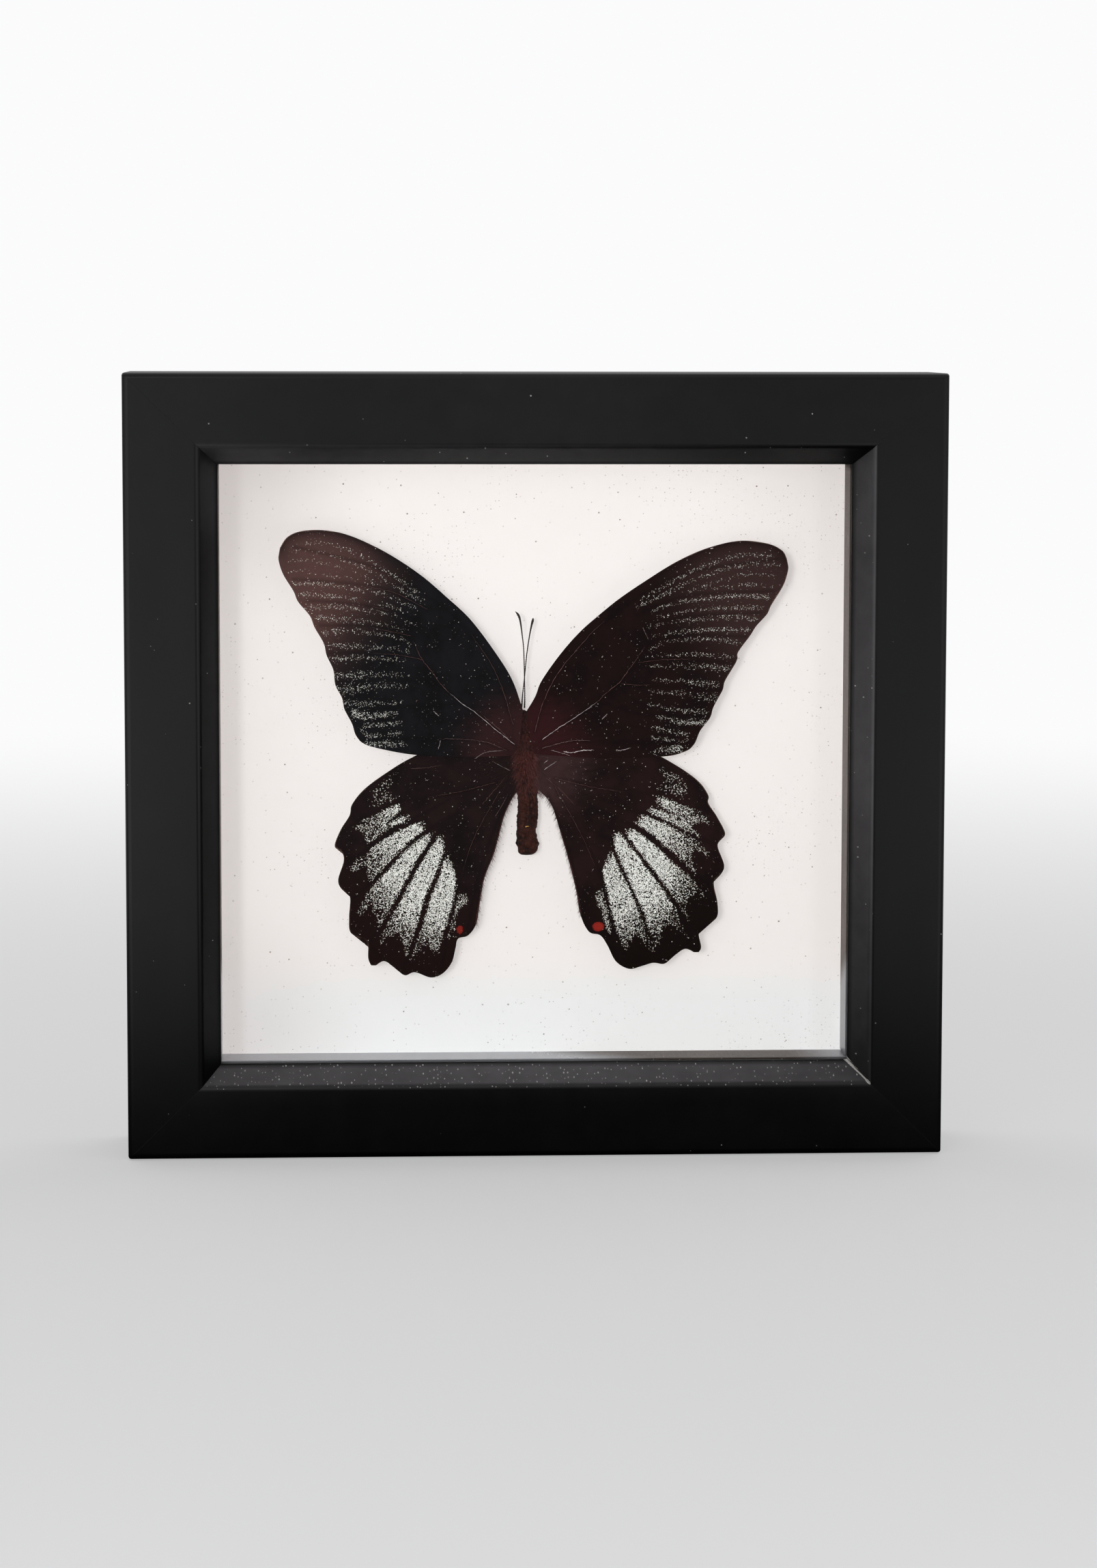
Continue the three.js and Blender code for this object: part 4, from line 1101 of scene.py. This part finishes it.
brown, shader = finish("dried body")
wrinkle = shader.noise(0.5, 4, 0.65, shader.stretched(1, 1, 2.5))
cloud = shader.noise(3, 3, 0.6)
height = shader.axes()[2]
colour = shader.mix(shader.step(height, 0.083, 0.090), screen(52, 23, 17), screen(58, 22, 20))
colour = shader.mix(shader.step(height, 0.094, 0.099), colour, screen(24, 8, 9))
# Painted shade and highlight: dark patches stand for shade in the crevices of the skin, and the wrinkles
# are painted lighter.
colour = shader.mix(shader.step(cloud, 0.35, 0.65), colour, screen(20, 7, 5))
colour = shader.mix(0.6 * shader.step(wrinkle, 0.5, 0.7), colour, screen(92, 50, 38))
colour = shader.mix(0.8 * shader.specks(1.3, 0.1, 0.1), colour, screen(186, 168, 160))
relief = shader.bump(wrinkle + 0.5 * cloud, 0.12)
solid(shader, colour, 0.6 + 0.2 * wrinkle, relief, Specular_IOR_Level=0.12)
body_stations = [
    (-2.2, 3.4, 102.9, 0.1, 0.1), (-2.2, 3.4, 102.2, 1.1, 1.0), (-2.2, 3.3, 100.4, 1.6, 1.4),
    (-2.2, 3, 98.4, 1.2, 1.2),
    (-2.1, 2.9, 97, 1.8, 1.9), (-2.1, 2.8, 94.5, 2.4, 2.8), (-2, 2.6, 91, 2.6, 3.2),
    (-2, 2.7, 87.6, 2.5, 2.9),
    (-1.7, 3, 85, 2.4, 2.2), (-1.35, 3.2, 82.5, 2.4, 2.1), (-1.2, 3.3, 79.5, 2.42, 2.0),
    (-1.3, 3.3, 78.3, 2.45, 1.95),
    (-1.35, 3.4, 77.2, 2.5, 1.9), (-1.5, 3.4, 75.5, 2.45, 1.85), (-1.65, 3.4, 74, 2.36, 1.85),
    (-1.5, 3.4, 72.6, 2.5, 1.85),
    (-1.35, 3.4, 71.3, 2.65, 1.8), (-1.25, 3.5, 70, 2.4, 1.6), (-1.4, 3.5, 69.1, 2.05, 1.3),
    (-1.5, 3.5, 68.6, 1.3, 0.7),
    (-1.5, 3.5, 68.5, 0.3, 0.2),
]
body = grown("body", body_stations, 96, 420, body_relief)
body.data.materials.append(brown)
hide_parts("butterfly_body")
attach(body, "root")


fur, shader = finish("brown hair")
tone = shader.painted("tone")
patch = shader.noise(1.1, 3, 0.6)
colour = shader.mix(0.7 * tone + 0.7 * patch - 0.3, screen(44, 20, 19), screen(134, 80, 75))
solid(shader, colour, 0.6 + 0.1 * patch, None, Specular_IOR_Level=0.12)
random = np.random.default_rng(7)
count = 3600
z = 83.5 + 18.5 * random.random(count) ** 0.9
line = spline(body_stations, 200, 3)[::-1]
across, centre_y, wide, deep = (np.interp(z, line[:, 2], line[:, k]) for k in (0, 1, 3, 4))
angle = math.pi + math.pi * (random.random(count) * 1.2 - 0.1)
roots = np.stack([across + wide * np.cos(angle), centre_y + deep * np.sin(angle), z], -1)
out = np.stack([np.cos(angle), 0.25 * np.sin(angle), -0.8 + 0.6 * random.standard_normal(count)], -1)
tips = roots + out * (0.8 + 1.2 * random.random(count))[:, None]
tips[:, 1] = np.maximum(tips[:, 1], -1.2)
paths = bent(roots, tips, 0.2 * random.standard_normal((count, 3)))
tones = random.random(count) ** 1.5 * (0.25 + 0.75 * smooth(-z, -97, -92))
hairs = strands("thorax_hairs", paths, 0.03, tones)

# The hairs at the wing roots lie flat on the wings and point away from the thorax.
count = 900
side = random.choice([-1, 1], count)
turn = np.where(side < 0, math.pi, 0) - side * random.uniform(-1.15, 0.95, count)
distance = 2.2 + 8 * random.random(count) ** 1.7
start = np.stack([MIDLINE + distance * np.cos(turn), 91 + distance * np.sin(turn)], -1)
turn = turn + 0.25 * random.standard_normal(count)
end = start + np.stack([np.cos(turn), np.sin(turn)], -1) * random.uniform(0.8, 2.6, count)[:, None]
flat = bent(start, end, 0.15 * random.standard_normal((count, 2)))
x, z = flat[..., 0], flat[..., 1]
face = np.where(z > 92.6, wing_face(x, z, *FORE), wing_face(x, z, *HIND))
tones = 0.35 * random.random(count) - 0.35
root_hairs = strands("wing_root_hairs", np.stack([x, face - 0.06, z], -1), 0.017, tones)

# The inner edges of the hindwings carry a fringe that points down and towards the body.
fringe = []
count = 520
for name, way in (("hindwing_left", 1), ("hindwing_right", -1)):
    edge = spline(wings[name]["trailing"][:7], 600)
    foot = edge[random.integers(0, 601, count)] - [way * 0.3, 0]
    reach = random.uniform(0.5, 1.5, count)
    tip = foot + np.stack([way * reach * random.uniform(0.2, 0.8, count), -reach], -1)
    fringe.append(bent(foot, tip, 0.1 * random.standard_normal((count, 2))))
fringe = np.vstack(fringe)
x, z = fringe[..., 0], fringe[..., 1]
paths = np.stack([x, wing_face(x, z, *HIND) + 0.05, z], -1)
fringe_hairs = strands("hindwing_fringes", paths, 0.03, 0.3 * random.random(len(fringe)))
for piece in (hairs, root_hairs, fringe_hairs):
    piece.data.materials.append(fur)
    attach(piece, "root")
    lit_pieces.append(piece.name)

# A torn flake of yellow skin lies on the abdomen.
yellow, shader = finish("yellow skin")
flake = shader.noise(0.4, 3, 0.6)
colour = shader.mix(flake, screen(150, 96, 36), screen(226, 178, 92))
solid(shader, colour, 0.55 + 0.2 * flake, shader.bump(flake, 0.02), Specular_IOR_Level=0.3)
flake_path = np.array([[(-1.95, 1.4, 75.4), (-1.6, 1.36, 75.5), (-1.3, 1.36, 75.55), (-0.95, 1.42, 75.5)]])
flake = strands("abdomen_flake", flake_path, 0.13, 1.0, 6, 3.0)
flake.data.materials.append(yellow)
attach(flake, "root")
lit_pieces.append(flake.name)

# ------------------------------------------------------------------------------------- antennae
# Two thin ringed antennae with clubbed ends, grown from the head. They are dry and black, cross
# above the head and stand clear of the card.

horn, shader = finish("antenna black")
banding = shader.noise(0.25, 2, 0.5)
colour = shader.mix(banding, screen(16, 12, 12), screen(44, 34, 32))
solid(shader, colour, 0.5 + 0.2 * banding, shader.bump(banding, 0.02), Specular_IOR_Level=0.3)
antennae = {
    "antenna_left": [
        (-2.1, 2.6, 103.4, 0.2, 0.2), (-2.05, 2.2, 106.4, 0.13, 0.13), (-2.15, 2, 111, 0.13, 0.13),
        (-2.35, 1.8, 117.3, 0.13, 0.13), (-2.75, 1.7, 121, 0.15, 0.15), (-3.2, 1.6, 124.1, 0.23, 0.23),
        (-3.7, 1.6, 125.5, 0.31, 0.31), (-4.3, 1.6, 126.2, 0.1, 0.1),
    ],
    "antenna_right": [
        (-2.75, 3.4, 103.4, 0.2, 0.2), (-2.5, 3.1, 106.8, 0.13, 0.13), (-2.1, 3, 110.4, 0.13, 0.13),
        (-1.65, 2.8, 115.4, 0.13, 0.13), (-1, 2.7, 120, 0.15, 0.15), (-0.45, 2.6, 122.9, 0.23, 0.23),
        (-0.2, 2.6, 123.9, 0.29, 0.29), (-0.1, 2.6, 124.6, 0.1, 0.1),
    ],
}
for name, stations in antennae.items():
    antenna = grown(name + "_shaft", stations, 12, 240, lambda z, angle: 0.025 * np.sin(z * 12))
    antenna.data.materials.append(horn)
    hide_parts(name)
    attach(antenna, "root")
    lit_pieces.append(antenna.name)

# ---------------------------------------------------------------------------------------- studio
# A pale floor in a pale room, a weak light on the left in front, an even light on the card and the
# butterfly, and the camera. Mirrored, the room is darker than the camera sees it.


def window(shader, across):
    """1 in the part of the room that the glass mirrors into the camera, and that is kept dark, by
    the direction across."""
    return shader.step(across, -0.032, -0.024) * shader.drop(across, 0.124, 0.132)


pale, shader = finish("pale floor")
cloud = shader.noise(240, 3)
seen = shader.node("LightPath", output="Is Camera Ray")
paper = shader.mix(cloud, screen(252, 252, 253), screen(249, 249, 250))
bright = shader.node("BsdfDiffuse", None, {"Color": paper})
white = shader.node("Emission", None, {"Color": screen(251, 251, 252)})
length = shader.node("VectorMath", {"operation": "LENGTH"}, {0: shader.place()}, "Value")
swept = shader.node("MixShader", None, {0: 0.4 + 0.6 * shader.step(length, 0.2, 1.1), 1: bright, 2: white})
right, back, _ = shader.axes()
far = 0 - back
across = (right + 0.049) / (far + 0.98)
left = shader.step(across, -0.1, 0.1, 1.35, 1.0)
around = shader.step(length, 0.15, 0.6) * shader.drop(far, -0.1, 0.05)
ahead = 0.01 + 0.75 * left * shader.step(far, 0.12, 0.38)
glow = ahead * (1 - 0.97 * window(shader, across)) + 0.45 * around
away = shader.node("Emission", None, {"Color": (1, 1, 1, 1), "Strength": glow})
surface_output(shader, shader.node("MixShader", None, {0: seen, 1: away, 2: swept}))
bpy.ops.mesh.primitive_plane_add(size=6, location=(0, 0, -0.0002))
floor = bpy.context.object
floor.name = "floor"
floor.data.materials.append(pale)

world = bpy.data.worlds.new("room")
bpy.context.scene.world = world
world.use_nodes = True
room = Shader(world.node_tree)
way = room.node("SeparateXYZ", None, {0: room.node("TexCoord", output="Generated")})
far = 0 - way.output("Y")
across = way.output("X") / far
rise = way.output("Z") / far
flag = window(room, across) * room.drop(rise, -0.034, -0.028) * (far > 0)
up = room.step(way.output("Z"), -0.12, -0.02)
left = room.step(0 - way.output("X"), -0.7, 0.7, 0.9, 0.62)
# A pale patch of wall straight ahead shows in the middle of the top rail.
patch = room.step(across, 0.0, 0.04) * room.drop(across, 0.05, 0.09) * (far > 0)
patch = patch * room.step(rise, -0.02, 0.0) * room.drop(rise, 0.1, 0.3)
sky = 0.12 + 0.25 * room.step(way.output("Z"), 0.2, 0.6) + 0.5 * patch
behind = room.step(way.output("Y"), 0.0, 0.3) * room.step(way.output("Z"), 0.05, 0.3)
glow = (0.03 + up * left * sky) * (1 - 0.97 * flag) + 0.5 * behind
dome = room.node("Background", None, {"Color": (1, 1, 1, 1), "Strength": glow})
backdrop = room.node("Background", None, {"Color": screen(251, 251, 252), "Strength": 1.0})
direct = room.node("LightPath", output="Is Camera Ray")
surroundings = room.node("MixShader", None, {0: direct, 1: dome, 2: backdrop})
result = room.tree.nodes.new("ShaderNodeOutputWorld")
room.tree.links.new(surroundings.socket, result.inputs["Surface"])

middle = Vector((0, 0.006, 0.091))


def softbox(name, azimuth, elevation, distance, width, height, power):
    """A rectangular light that looks at the middle of the card."""
    a, e = math.radians(azimuth), math.radians(elevation)
    away = Vector((math.sin(a) * math.cos(e), -math.cos(a) * math.cos(e), math.sin(e)))
    lamp = bpy.data.lights.new(name, "AREA")
    lamp.shape = "RECTANGLE"
    lamp.size = width
    lamp.size_y = height
    lamp.energy = power
    light = bpy.data.objects.new(name, lamp)
    light.location = middle + away * distance
    light.rotation_euler = away.to_track_quat("Z", "Y").to_euler()
    light.visible_camera = False
    bpy.context.scene.collection.objects.link(light)
    return light


softbox("key", -21, 20, 1.3, 0.5, 0.4, 1.0)
# The card and the butterfly are lit evenly, and without shadows, as by light that filters through
# the card from the room behind it. A smaller part of their light comes from the left, and the
# butterfly alone shades it.
even = softbox("even_light", 3, 6, 1.3, 0.5, 0.5, 10.8)
side_light = softbox("side_light", -14, 7, 1.3, 0.22, 0.22, 4.3)
butterfly = [body] + [bpy.data.objects[name] for name in lit_pieces]
for light, blockers in ((even, [floor]), (side_light, butterfly)):
    for purpose, pieces in (("receiver_collection", [card] + butterfly), ("blocker_collection", blockers)):
        group = bpy.data.collections.new(f"{light.name}_{purpose}")
        for piece in pieces:
            group.objects.link(piece)
        setattr(light.light_linking, purpose, group)

camera_data = bpy.data.cameras.new("camera")
camera_data.lens = 97.961
camera_data.sensor_width = 36
camera_data.clip_start = 0.05
camera = bpy.data.objects.new("camera", camera_data)
bpy.context.scene.collection.objects.link(camera)
place = Vector((-0.04906, -0.99538, 0.19182))
aim = Vector((0.0026, -0.016, 0.0874))
turn = (place - aim).to_track_quat("Z", "Y").to_matrix()
roll = Matrix.Rotation(math.radians(0.096), 3, "Z")
camera.matrix_world = Matrix.Translation(place) @ (turn @ roll).to_4x4()
bpy.context.scene.camera = camera
bpy.context.scene.view_settings.view_transform = "Standard"
